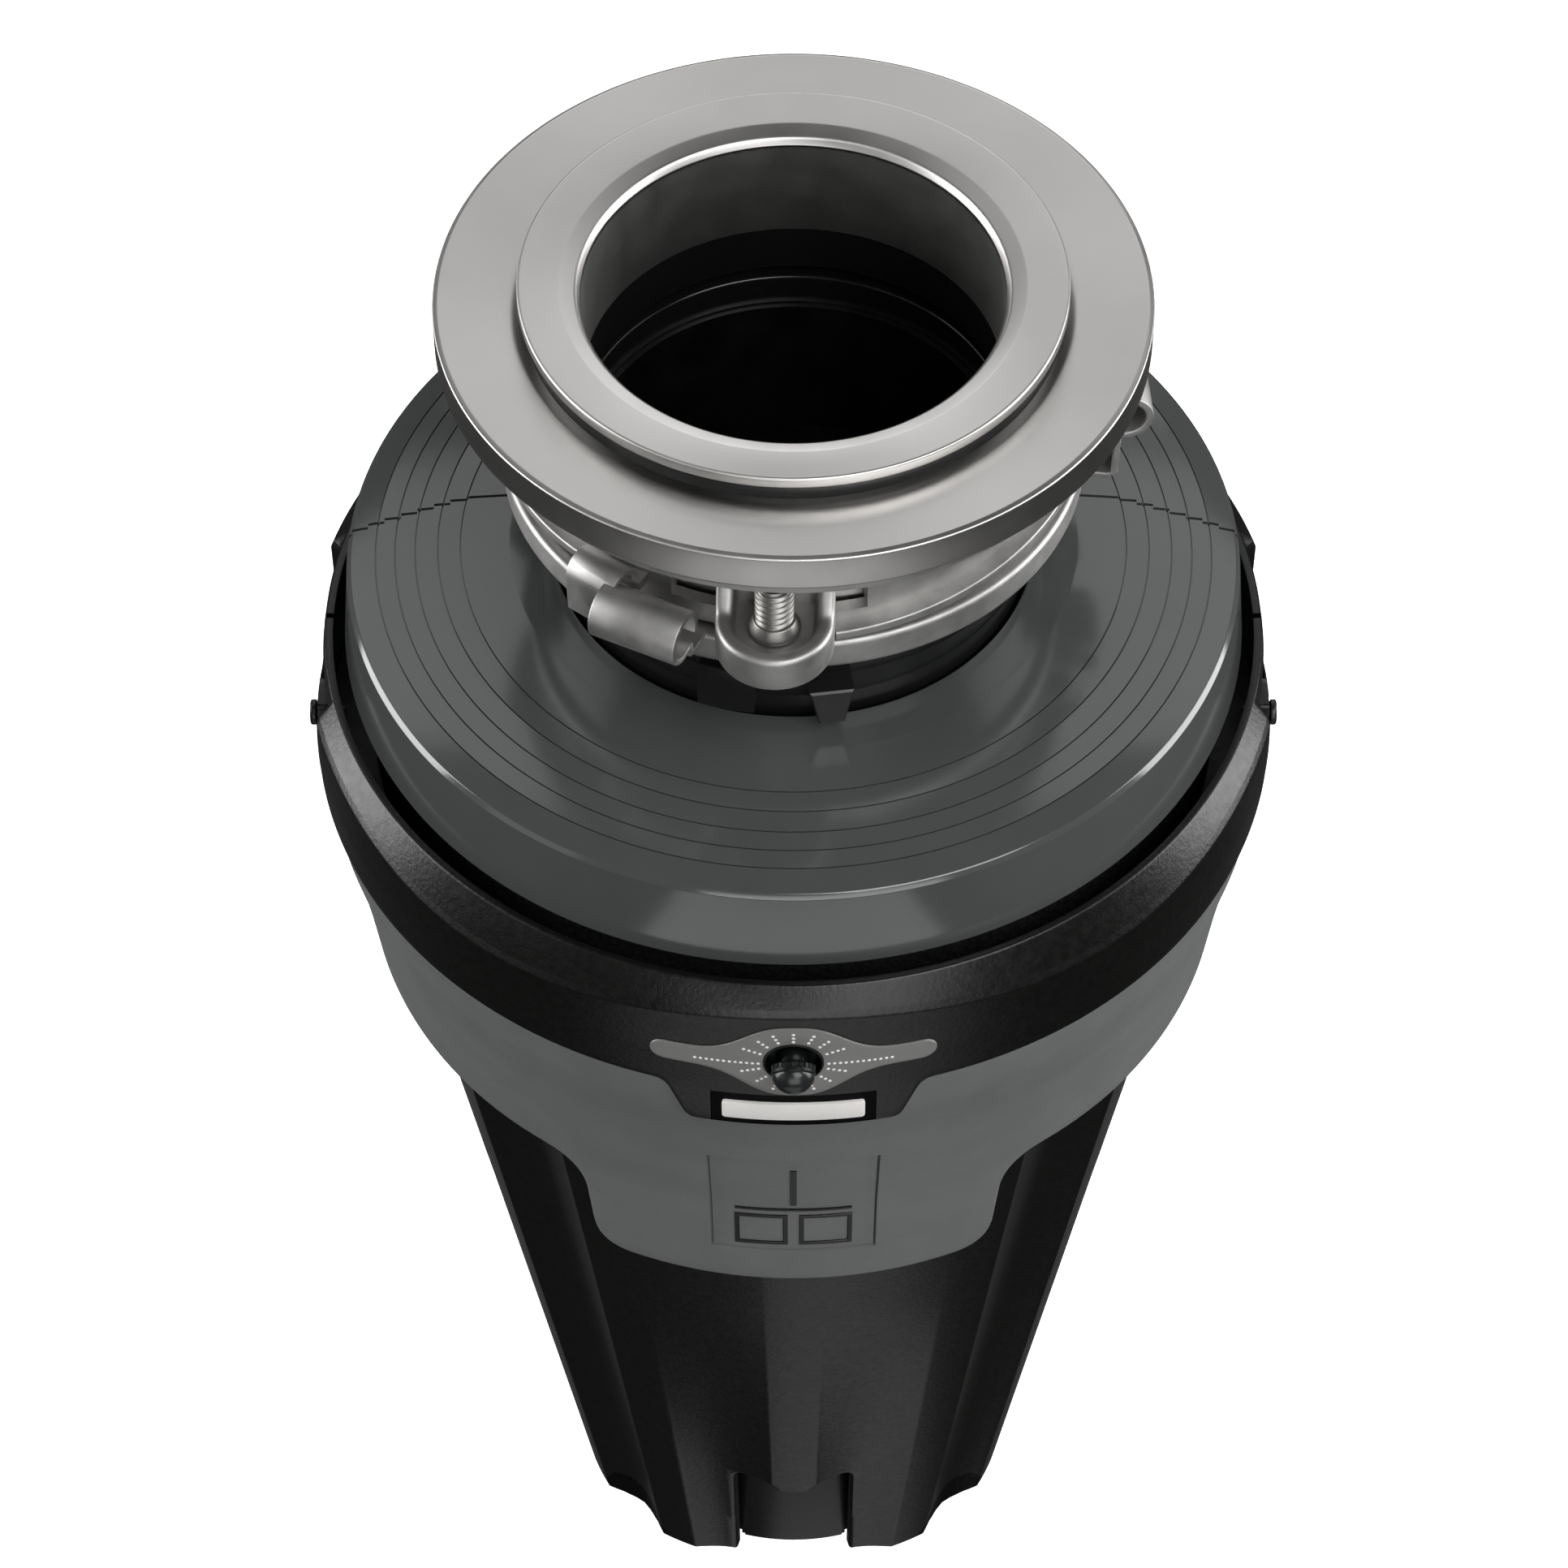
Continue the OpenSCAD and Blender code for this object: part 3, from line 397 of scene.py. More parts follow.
def white_dots():
    p = Paint("white_dots", Specular_IOR_Level=0.3)
    p.colour(p.noise(1, 2), (0.72, 0.73, 0.72), (0.86, 0.87, 0.86))
    p.rough(p.noise(1, 2), 0.4, 0.5)
    return p.mat


# Base colour, roughness, round brushing, smudge, grain size and grain height.
METALS = {
    "stainless": ((0.60, 0.59, 0.578), (0.33, 0.37), 0.75, 0.015, 0.3, 0.0012),
    "throat_steel": ((0.5, 0.5, 0.49), (0.44, 0.5), 0.3, 0.03, 0.3, 0.002),
    "screw_steel": ((0.27, 0.265, 0.255), (0.36, 0.46), 0, 0.15, 0.4, 0.003),
    "shaft_steel": ((0.64, 0.64, 0.63), (0.16, 0.26), 0, 0.08, 0.3, 0.002),
    "cast_aluminium": ((0.55, 0.56, 0.57), (0.42, 0.6), 0, 0.1, 0.7, 0.03),
    "hopper_metal": ((0.13, 0.13, 0.135), (0.34, 0.46), 0.3, 0.1, 0.5, 0.004),
    "brass": ((0.62, 0.44, 0.17), (0.25, 0.38), 0, 0.1, 0.5, 0.004),
}
# Base colour, roughness, grain size, grain height, specular level, mottle and, where there is one, coat.
PLASTICS = {
    "can_steel": ((0.02, 0.02, 0.021), (0.3, 0.42), 0.9, 0.01, 0.5, 0.1, 0.3),
    "lamp_panel_metal": ((0.155, 0.155, 0.15), (0.34, 0.42), 0.3, 0.002, 0.8, 0.03),
    "name_metal": ((0.78, 0.76, 0.74), (0.3, 0.4), 0.4, 0.002, 0.5, 0.02),
    "rubber": ((0.006, 0.006, 0.006), (0.2, 0.26), 1.5, 0.001, 0.5, 0.03),
    "grey_cover": ((0.062, 0.0655, 0.0655), (0.12, 0.15), 0.7, 0.0008, 1.0, 0.02),
    "grey_belt": ((0.128, 0.131, 0.131), (0.42, 0.5), 0.6, 0.035, 0.4, 0.04),
    "black_plastic": ((0.0015, 0.0016, 0.0013), (0.31, 0.38), 0.8, 0.05, 0.5, 0.1),
    "bell_black": ((0.0025, 0.0025, 0.0024), (0.26, 0.28), 0.9, 0, 0.5, 0.04),
    "gloss_black": ((0.007, 0.008, 0.008), (0.3, 0.36), 0.8, 0, 0.16, 0.08),
    "pin_black": ((0.008, 0.008, 0.008), (0.3, 0.4), 0.6, 0.01, 0.5, 0.1),
    "recess_black": ((0.001, 0.001, 0.001), (0.5, 0.6), 0.8, 0, 0.05, 0.1),
    "red_plastic": ((0.42, 0.012, 0.008), (0.2, 0.28), 0.8, 0.003, 0.5, 0.05),
    "board_green": ((0.02, 0.10, 0.04), (0.25, 0.4), 1.2, 0.02, 0.5, 0.2),
    "ferrite": ((0.035, 0.035, 0.04), (0.5, 0.65), 0.6, 0.03, 0.4, 0.15),
    "carbon": ((0.02, 0.02, 0.022), (0.5, 0.65), 0.4, 0.02, 0.4, 0.2),
    "phenolic": ((0.13, 0.065, 0.032), (0.4, 0.5), 0.8, 0.01, 0.4, 0.2),
}
OTHERS = {
    "zinc_steel": zinc_steel,
    "lamination": sheet_stack,
    "lens": smoked_lens,
    "copper": wound_copper,
    "foam": foam,
    "white_dots": white_dots,
}
made = {}


def finish_of(name):
    """The named finish, made when it is first asked for."""
    if name not in made:
        if name in METALS:
            made[name] = satin_metal(name, *METALS[name])
        elif name in PLASTICS:
            made[name] = plastic(name, *PLASTICS[name])
        else:
            made[name] = OTHERS[name]()
    return made[name]


# -------------------------------------------------------------- sink mount

EAR_AZIMUTH = -3.3
EAR_HALF = 9.25
EAR_TIP = 60.0
EAR_RISE = 5.5
SCREW_OUT = 51.0
LOCK_R = 47.7
TUBE_AZIMUTH = -26
HOOK_AZIMUTH = -37
THIRDS = (0, 120, 240)


def sink_flange():
    profile = rounded([
        (41.4, 284.6, 0.4), (43, 284.6, 0.3), (43, 286.2, 0), (42.3, 286.2, 0), (42.3, 287.9, 0), (43, 287.9, 0),
        (43, 307.8, 0.6), (55.55, 307.8, 0.2), (55.55, 307.3, 0.2), (57.15, 307.3, 0.5), (57.15, 313.7, 0.4),
        (56.3, 314, 0.5), (45, 313.0, 6), (42.4, 312.4, 0.8), (41.4, 311, 1.0),
    ], 0.3, 6)
    piece("sink_flange_disc", "sink_flange", lathe(profile, 320))


def splash_guard():
    trim = rounded([
        (33.7, 313.6, 0.2), (34.9, 313.6, 0.2), (35.6, 315.3, 0.4), (43.7, 315.3, 0.3), (43.7, 317.4, 0.55),
        (37.0, 316.55, 2.2), (34.4, 315.7, 1.2), (33.7, 314.6, 0.6),
    ], 0.3, 6)
    piece("guard_trim_ring", "splash_guard_trim", lathe(trim, 320))
    sleeve = rounded([(33.7, 296, 0.1), (33.98, 296, 0.1), (33.98, 314.2, 0), (33.7, 314.2, 0)], 0.1, 3)
    piece("guard_trim_sleeve", "splash_guard_trim", lathe(sleeve, 240), hides=False,
          finish=finish_of("throat_steel"))
    rubber = rounded([
        (34, 287, 0.6), (36.6, 287, 0.6), (36.6, 307.5, 0.5), (40.8, 308.5, 0.5), (40.8, 311.9, 0.4),
        (43.2, 312.2, 0.5), (43.2, 315.25, 0.2), (35.65, 315.25, 0.1), (34.95, 313.5, 0.1), (34, 313.5, 0.1),
    ], 0.3, 4)
    piece("guard_rubber_sleeve", "splash_guard_rubber", lathe(rubber, 240))


def ear():
    """U-shaped ear: rolled rim that rises towards the ring, tray floor above and hollow below."""
    half, reach = EAR_HALF, EAR_TIP - EAR_HALF
    inner_y = -44.9
    path = [(half, y, 1, 0) for y in spread(inner_y, -reach, 6)[:-1]]
    path += [(half * math.cos(t), -reach - half * math.sin(t), math.cos(t), -math.sin(t))
             for t in [math.radians(a) for a in spread(0, 180, 28)]]
    path += [(-half, y, -1, 0) for y in spread(-reach, inner_y, 6)[1:]]
    rim = rounded([(0, 287, 0.5), (0, 293.5, 2.4), (2.4, 293.5, 1.4), (3.2, 291.6, 1.2)], 0.6, 8, closed=False)
    rim[0:1] = [(0.5, 287), (0.15, 287.15), (0, 287.5)]
    sections = []
    for x, y, nx, ny in path:
        t = max(0, min(1, (y + reach) / (inner_y + reach)))
        rise = EAR_RISE * t * t * (3 - 2 * t)
        loop = [(x - nx * d, y - ny * d, z + (rise if z > 291.7 else 0)) for d, z in rim]
        mid_y = max(y, -reach)
        middle = len(loop)
        loop += [(0, mid_y, 291.4), (0, mid_y, 290.0), (x - nx * 2.2, y - ny * 2.2, 290.0),
                 (x - nx * 1.7, y - ny * 1.7, 287)]
        sections.append(loop)
    return loft(sections, skip=(middle,))


def ramp_plate():
    """One bayonet ramp: a plate from 8 to 90 degrees that rises as it goes."""
    sections = []
    for a in spread(8, 90, 40):
        rise = 288.4 + math.tan(math.radians(4.6)) * 47 * math.sin(math.radians(a - 49))
        box = rounded([(44.2, rise - 0.9), (48.2, rise - 0.9), (48.2, rise + 0.9), (44.2, rise + 0.9)], 0.35, 3)
        sections.append([polar(r, a, z) for r, z in box])
    return loft(sections)


def sector(r0, r1, z0, z1, mid, half, steps=6):
    loop = [(r0, z0), (r1, z0), (r1, z1), (r0, z1)]
    return loft([[polar(r, a, z) for r, z in loop] for a in spread(mid - half, mid + half, steps)])


def mounting_ring():
    wall = rounded([
        (44.5, 284.8, 0.3), (45.6, 284.8, 0.3), (45.6, 301, 0.4), (43.5, 301, 0.4), (43.5, 288.2, 0.4),
        (44.5, 288.2, 0.4),
    ], 0.3, 4)
    windows = []
    for k in THIRDS:
        windows.append(sector(43, 47, 289, 296.5, EAR_AZIMUTH + k - 16.5, 5))
        windows.append(sector(43, 47, 289, 296.5, EAR_AZIMUTH + k + 14.5, 3.5))
    ears = [moved(ear(), turn(EAR_AZIMUTH + k)) for k in THIRDS]
    ramps = [moved(ramp_plate(), turn(k)) for k in THIRDS]
    piece("mounting_ring_body", "mounting_ring", lathe(wall, 240), cuts=windows, adds=ears + ramps, sharp=38)


def thread(r_root, r_crest, z0, z1, pitch, around=40, per_turn=10):
    """Screw thread with rounded crests, capped at both ends."""
    rows = int((z1 - z0) / pitch * per_turn)
    verts, faces = [], []
    for j in range(rows + 1):
        z = lerp(z0, z1, j / rows)
        fade = min(1, (z - z0) / pitch, (z1 - z) / pitch)
        for i in range(around):
            phase = (z / pitch - i / around) % 1
            ridge = (0.5 - 0.5 * math.cos(2 * math.pi * phase)) ** 0.8
            verts.append(polar(r_root + (r_crest - r_root) * ridge * fade, i * 360 / around, z))
    for j in range(rows):
        for i in range(around):
            k = (i + 1) % around
            faces.append((j * around + i, j * around + k, (j + 1) * around + k, (j + 1) * around + i))
    faces.append(tuple(range(around)))
    faces.append(tuple(range(len(verts) - 1, len(verts) - 1 - around, -1)))
    return verts, faces


def mounting_screws():
    collar = rounded([(2.2, 291.75, 0), (4.15, 291.75, 0.3), (4.15, 292.5, 0.5), (3.3, 294.2, 0.4),
                      (2.2, 294.2, 0)], 0.3, 4)
    one = joined(thread(2.6, 3.1, 285.6, 302.2, 1.25), lathe(collar, 48),
                 capped_lathe([(0, 302), (1.9, 302), (1.9, 303.1), (1.7, 303.3), (0, 303.3)], 32))
    screws = [moved(one, turn(EAR_AZIMUTH + k) @ Matrix.Translation((0, -SCREW_OUT, 0))) for k in THIRDS]
    piece("mounting_screws_threaded", "mounting_screws", joined(*screws), sharp=45)


def rolled_strip(path, half_width, thickness, edge=0.3):
    """Sheet metal that follows a path in the plane of y and z, with rounded edges at its ends along X."""
    sides = ([], [])
    for i, (y, z) in enumerate(path):
        a = path[max(0, i - 1)]
        b = path[min(len(path) - 1, i + 1)]
        d = Vector((b[0] - a[0], b[1] - a[1])).normalized()
        for side, s in zip(sides, (0.5, -0.5)):
            side.append((y - d.y * thickness * s, z + d.x * thickness * s, -d.y * s * 2, d.x * s * 2))
    loop = sides[0] + sides[1][::-1]
    stations = [(-half_width, edge), (-half_width + edge * 0.3, edge * 0.3), (-half_width + edge, 0),
                (half_width - edge, 0), (half_width - edge * 0.3, edge * 0.3), (half_width, edge)]
    return loft([[(x, y - ny * inset, z - nz * inset) for y, z, ny, nz in loop] for x, inset in stations])


def arc(cy, cz, r, a0, a1, steps):
    angles = [math.radians(a) for a in spread(a0, a1, steps)]
    return [(cy + r * math.cos(t), cz + r * math.sin(t)) for t in angles]


def wrench_tube():
    """Strap from the lock ring that rolls up into a tube."""
    path = [(-46.4, 283.6), (-49.5, 283.6), (-51.2, 283.9)] + arc(-53.4, 289.5, 3.85, -62, -385, 44)
    return rolled_strip(path, 7.5, 1.3)


def hook():
    """Smaller roll that rides over the mounting ring's ramp."""
    path = [(-46.4, 283.6), (-51.6, 283.6), (-52.6, 284.3), (-52.75, 288.6)]
    path += arc(-49.9, 291.4, 2.85, 185, -60, 30)
    return rolled_strip(path, 4.5, 1.2)


def lock_ring():
    profile = rounded([
        (41.8, 278, 0.4), (LOCK_R, 278, 1.3), (LOCK_R, 284, 1.1), (43.8, 284, 0.4), (43.8, 283, 0.3),
        (45.9, 283, 0.5), (45.9, 279.6, 0.5), (41.8, 279.6, 0.4),
    ], 0.4, 6)
    notches = []
    for k in THIRDS:
        for off in (13, -17):
            notches.append(sector(44.6, 46.6, 282.5, 286, TUBE_AZIMUTH + off + k, 1.2, 2))
    adds = [moved(wrench_tube(), turn(TUBE_AZIMUTH + k)) for k in THIRDS]
    adds += [moved(hook(), turn(HOOK_AZIMUTH + k)) for k in THIRDS]
    piece("lock_ring_rolled", "lock_ring", lathe(profile, 280), adds=adds, cuts=notches, sharp=38)


def mounting_gasket():
    profile = rounded([
        (36.25, 250.6, 0.2), (39.0, 250.6, 0.3), (39.3, 258, 2), (39.8, 263, 3), (42, 270, 4), (45.2, 276.4, 0.7),
        (45.2, 277.6, 0.4), (41.4, 277.6, 0.1), (41.4, 280, 0.1), (43.3, 280, 0.3), (43.3, 284.2, 0.5),
        (34.6, 284.2, 0.6), (34.6, 278.3, 0.3), (36.25, 278.3, 0.1),
    ], 0.3, 5)
    tab = [(-3.6, 268.6), (3.6, 268.6), (2.1, 261), (-2.1, 261)]
    sections = []
    for y, d in ((-38.5, 0), (-44.3, 0), (-44.6, 0.35)):
        sections.append([(x * (1 - d / 3.6), y, z + (-d if z > 262 else d)) for x, z in tab])
    block = rounded([(41, 267.6, 0.3), (48.2, 267.6, 0.6), (48.2, 276.8, 0.6), (41, 276.8, 0.3)], 0.4, 4)
    stop = loft([[polar(r, a, z) for r, z in block] for a in spread(-18.5, -7.5, 8)])
    piece("mounting_gasket_boot", "mounting_gasket", lathe(profile, 280),
          adds=[moved(loft(sections), turn(8)), stop], sharp=38)


# -------------------------------------------------------------- top covers

RING_LINES = (55.6, 59.4, 63.2, 66.6, 69.9)
SEAM_STEP = 2.75
SEAM_GAP = 0.28


def cover_top_z(r):
    return lookup(r, [(40.1, 258.3), (47.5, 258.2), (60, 257.2), (70, 255.8), (74, 254.8)])


def cover_profile():
    top = [(40.1, 258.3, 0.5), (44, 258.27, 0)]
    for r in (47.5, 51.5):
        top.append((r, cover_top_z(r), 6))
    for r in RING_LINES:
        z = cover_top_z(r)
        top += [(r - 0.13, z, 0), (r - 0.1, z - 0.4, 0), (r + 0.1, z - 0.4, 0), (r + 0.13, z, 0)]
    top += [(74.2, 254.75, 0.55), (74.85, 253.9, 0.5), (76.2, 238.7, 0.6), (73.8, 238.7, 0.4), (72.6, 252.5, 2),
            (69.8, 253.5, 2), (60, 254.9, 2), (47.5, 256, 2), (40.1, 256.1, 0.4)]
    return rounded(top, 0.3, 5)


def seam_y(x):
    """The seam runs straight across the middle and steps forwards at both sides."""
    return 9 - 6 * max(0, min(1, (math.floor(abs(x) / SEAM_STEP) * SEAM_STEP - 53) / 22))


def rear_of_seam(gap):
    """Prism behind the stepped seam between the two covers."""
    edge = []
    for i in range(-30, 30):
        y = seam_y((i + 0.5) * SEAM_STEP) + gap
        edge += [(i * SEAM_STEP, y), ((i + 1) * SEAM_STEP, y)]
    outline = edge + [(90, 95), (-90, 95)]
    return loft([[(x, y, z) for x, y in outline] for z in (230, 270)])


def top_covers():
    shape = lathe(cover_profile(), 320)
    piece("top_cover_front_half", "top_cover_front", shape, cuts=[rear_of_seam(-SEAM_GAP)])
    piece("top_cover_rear_half", "top_cover_rear", shape, crops=[rear_of_seam(SEAM_GAP)])


# ------------------------------------------------------------------ covers

def patch(half_u, z0, z1, low, high, r_of, flare=0.0, step=1.0):
    """Plate that follows a round surface between two heights above it. Its sides lean outwards by the flare."""
    cols, rows = round(2 * half_u / step), round((z1 - z0) / step)
    verts, faces = [], []
    for h in (low, high):
        grow = flare * (h - low)
        for j in range(rows + 1):
            z = lerp(z0 - grow, z1 + grow, j / rows)
            for i in range(cols + 1):
                u = lerp(-half_u - grow, half_u + grow, i / cols)
                verts.append(polar(r_of(z) + h, math.degrees(u / r_of((z0 + z1) / 2)), z))
    n = (rows + 1) * (cols + 1)
    for j in range(rows):
        for i in range(cols):
            a = j * (cols + 1) + i
            quad = (a, a + 1, a + cols + 2, a + cols + 1)
            faces += [quad, tuple(v + n for v in quad[::-1])]
    rim = list(range(cols + 1)) + [(j + 1) * (cols + 1) - 1 for j in range(1, rows + 1)]
    rim += [rows * (cols + 1) + i for i in range(cols - 1, -1, -1)]
    rim += [j * (cols + 1) for j in range(rows - 1, 0, -1)]
    for a, b in zip(rim, rim[1:] + rim[:1]):
        faces.append((a, b, b + n, a + n))
    return verts, faces


def side_normals(curve, scale, inward):
    """Unit normals, in millimetres along the skin, of an open curve of (azimuth, z) points."""
    out = []
    for i in range(len(curve)):
        a = curve[max(0, i - 1)]
        b = curve[min(len(curve) - 1, i + 1)]
        d = Vector(((b[0] - a[0]) * scale, b[1] - a[1])).normalized()
        out.append((-d.y * inward / scale, d.x * inward))
    return out


def edge_roll(point, normal, r_of, radius, steps=4):
    """Rounded edge of a skin: from its rim face, radius deep, onto the skin, radius in from the edge."""
    out = []
    for k in range(steps + 1):
        t = math.pi / 2 * k / steps
        along = radius * (1 - math.cos(t))
        a = point[0] + normal[0] * along
        z = point[1] + normal[1] * along
        out.append((r_of(a, z) - radius * (1 - math.sin(t)), a, z))
    return out


RIDGE_R0 = 45.9
RIDGE_SLOPE = 0.1525
SHELL_TOP = 184.0
BELT_Z0 = 171.5
BAND_Z0 = 213.2
BAND_R = 82.9
BELT_LINE = [(147.5, 75.0), (171.5, 76), (184, 77.4), (194, 78.8), (204, 80.9), (213.2, 82)]


def ridge_r(z):
    return RIDGE_R0 + RIDGE_SLOPE * z


def belt_r(z):
    return lookup(z, BELT_LINE)


def belt_skin(azimuth, z):
    """The belt is round, so the azimuth is left out of account."""
    return belt_r(z)


def mirrored(half):
    """A curve from the middle of the front to the rear, mirrored into one from rear to rear."""
    return [(-a, z) + tuple(rest) for a, z, *rest in half[::-1]][:-1] + [tuple(p) for p in half]


def outline_round_belt(half, scale, count):
    """Half outline in azimuth and z, rounded in millimetres, as count points from -180 to 180 degrees."""
    mm = [(a * scale, z) + tuple(rest) for a, z, *rest in mirrored(half)]
    smooth = resampled(rounded(mm, 0, 12, closed=False), count)
    return [(u / scale, z) for u, z in smooth]


def belt_cover():
    columns, rows = 721, 26
    low_scale, top_scale = 75.5 * math.radians(1), 82 * math.radians(1)
    apron = [(0, 147.6), (27.4, 147.6, 7.5), (28.9, BELT_Z0, 9), (180, BELT_Z0)]
    dip = [(0, 203.7), (12.6, 203.7, 2.6), (15.2, BAND_Z0, 3.2), (180, BAND_Z0)]
    bottom = outline_round_belt(apron, low_scale, columns)
    top = outline_round_belt(dip, top_scale, columns)
    down = side_normals(bottom, low_scale, 1)
    up = side_normals(top, top_scale, -1)
    inner = [(174.1, 73.8), (184.3, 75), (194.3, 76.4), (204.3, 78.5), (213.2, 79.6)]
    lip_z = BELT_Z0 + 0.6
    sections = []
    for i in range(columns - 1):
        lower = edge_roll(bottom[i], down[i], belt_skin, 0.9, 5)
        upper = edge_roll(top[i], up[i], belt_skin, 0.5, 3)[::-1]
        low_azimuth, low_z = bottom[i]
        top_azimuth, top_z = top[i]
        loop = [(ridge_r(low_z) + 0.4, low_azimuth, low_z)] + lower
        for k in range(1, rows):
            z = lerp(lower[-1][2], upper[0][2], k / rows)
            loop.append((belt_r(z), lerp(lower[-1][1], upper[0][1], k / rows), z))
        loop += upper
        for k in range(5):
            z = lerp(top_z, 174.1, k / 4)
            loop.append((lookup(z, inner), top_azimuth, z))
        loop.append((ridge_r(lip_z) + 0.5, low_azimuth, lip_z))
        sections.append([polar(*p) for p in loop])
    recess = patch(14.2, 157, 187, -0.9, 4, belt_r, flare=0.25)
    piece("belt_cover_skin", "belt_cover", loft(sections, wrap=True), cuts=[recess, hose_window()], sharp=35)


def hose_window():
    return prism(circle(15.5, 193, 64), 40, 95)


def crease_z(a):
    """Height of the band's upper crease: a slow wave round the front."""
    a = abs(a)
    return 232.1 + 1.9 * math.cos(2 * math.pi * a / 75) if a < 75 else 234.0


def band_skin(azimuth, z):
    """The band is round and draws in a little towards its lower edge."""
    return lookup(z, [(213.2, BAND_R - 0.3), (222, BAND_R)])


POCKET_HALF = 14
POCKET_R = 80.2


def band_half(front):
    """One half of the band, between the pockets' middles, with its drop panel if it is the front half."""
    scale = BAND_R * math.radians(1)
    rows = 14
    if front:
        half = [(0, 204), (12.3, 204, 2.6), (14.9, BAND_Z0, 3.2), (89.6, BAND_Z0)]
        line = rounded([(a * scale, z) + tuple(rest) for a, z, *rest in mirrored(half)], 0, 12, closed=False)
        bottom = [(u / scale, z) for u, z in resampled(line, 401)]
    else:
        bottom = [(a, BAND_Z0) for a in spread(90.4, 269.6, 300)]
    sections = []
    for (azimuth, low_z), normal in zip(bottom, side_normals(bottom, scale, 1)):
        crease = crease_z(azimuth if abs(azimuth) < 180 else 360 - abs(azimuth))
        lower = edge_roll((azimuth, low_z), normal, band_skin, 0.5, 4)
        loop = [(81.2 if low_z < 212.9 else 80.5, azimuth, low_z)] + lower
        for k in range(1, rows):
            a, z = lerp(lower[-1][1], azimuth, k / rows), lerp(lower[-1][2], crease - 2.0, k / rows)
            loop.append((band_skin(a, z), a, z))
        rim = [(BAND_R, crease - 3.2), (BAND_R, crease - 0.6, 1.5), (82.2, crease + 0.75, 0.5),
               (79.5, 237.9, 0.6), (78.2, 237.7, 0.2), (78.2, 235.8), (80.5, 231.4)]
        loop += [(r, azimuth, z) for r, z in rounded(rim, 0, 4, closed=False)[1:]]
        from_side = abs(abs(((azimuth + 180) % 360) - 180) - 90)
        if from_side < POCKET_HALF:
            blend = min(1, (POCKET_HALF - from_side) / 0.8)
            loop = [(lerp(r, min(r, POCKET_R), blend) if 217 < z < 237.2 else r, a, z) for r, a, z in loop]
        sections.append([polar(*p) for p in loop])
    return loft(sections)


def band():
    """Both halves, the lugs of the pins, and a black ring of painted shade that closes the view down past the
    covers.
    """
    bore = prism(circle(4.95, LAMP_Z, 48), -90, -76)
    lugs = []
    for s in (-1, 1):
        lug = rounded([(-15.4, 220.2, 0.8), (-7.6, 220.2, 0.8), (-7.6, 231.8, 2.5), (-15.4, 231.8, 0.8)], 0.6, 4)
        lugs.append(loft([[(s * x, y, z) for y, z in lug] for x in (78.2, 80.3, 80.6)]))
    name_recess = patch(13.7, 204.3, 212.4, -0.9, 4, lambda z: BAND_R, flare=0.06)
    piece("band_front_half", "band_front", band_half(True), adds=lugs, cuts=[bore, name_recess], sharp=35)
    piece("band_rear_half", "band_rear", band_half(False), sharp=35)
    # Painted shade: a flat black ring low in the gap between the top covers and the band, standing for the shade
    # that falls down there.
    gap_shade_ring = lathe([(72.8, 213.6), (80.3, 213.6), (80.3, 214.4), (72.8, 214.4)], 160)
    piece("band_gap_shade_ring", "band_rear", gap_shade_ring, hides=False, sharp=35, finish=finish_of("pin_black"))


def band_pins():
    pins = []
    for s in (-1, 1):
        pin = capped_lathe([(0, 76.5), (1.2, 76.5), (1.2, 81.1), (1.7, 81.25), (2.15, 81.4), (2.2, 81.6),
                            (2.2, 82.1), (2.0, 82.35), (1.6, 82.4), (0, 82.4)], 32)
        place = Matrix.Translation((0, -11.5, 226)) @ Matrix.Rotation(math.radians(90 * s), 4, "Y")
        pins.append(moved(pin, place))
    piece("band_pins_headed", "band_pins", joined(*pins), sharp=40)


# -------------------------------------------------------------------- lamp

LAMP_Z = 222.3
LAMP_PIVOT = Vector((0, -82.2, LAMP_Z))
LAMP_TILT = 25
PANEL_END_X = 21
PANEL_END_R = 2.3
DOT_RAYS = ((0, 3, 5.6), (25, 3, 5.8), (46, 3, 5.9), (68, 4, 5.8), (108, 4, 5.9), (131, 3, 5.9), (155, 3, 5.9))
LENS_R = 3.48
LENS_RISE = 3.1
HEAD_RIBS = 24
RIB_DEPTH = 0.2


def panel_half_height(x):
    end = min(1, max(0, abs(x) - PANEL_END_X) / PANEL_END_R)
    return PANEL_END_R * math.sqrt(1 - end ** 2) + 6.65 * math.exp(-(abs(x) / 9.6) ** 2.8)


def lamp_panel():
    tips = [PANEL_END_X + PANEL_END_R * math.sin(math.radians(a)) for a in (0, 15, 30, 45, 58, 70, 80, 87)]
    xs = [-x for x in tips[::-1]] + spread(-20.6, 20.6, 90) + tips
    face_r, edge = BAND_R + 0.35, 0.22
    sections = []
    for x in xs:
        h = panel_half_height(x)
        roll = [(BAND_R + 0.02, h), (face_r - edge, h), (face_r - edge * 0.3, h - edge * 0.3),
                (face_r, h - edge)]
        loop = []
        for side in (-1, 1):
            for r, z in (roll if side < 0 else roll[::-1]):
                loop.append((r, side * max(0.02, z)))
            if side < 0:
                loop += [(face_r, z) for z in spread(-max(0.02, h - edge), max(0.02, h - edge), 10)[1:-1]]
        sections.append([(x, -math.sqrt(r * r - x * x), LAMP_Z + z) for r, z in loop])
    hole = prism(circle(4.97, LAMP_Z, 64), -90, -70)
    piece("lamp_panel_plate", "lamp_panel", loft(sections), cuts=[hole], sharp=40)
    lamp_dots()


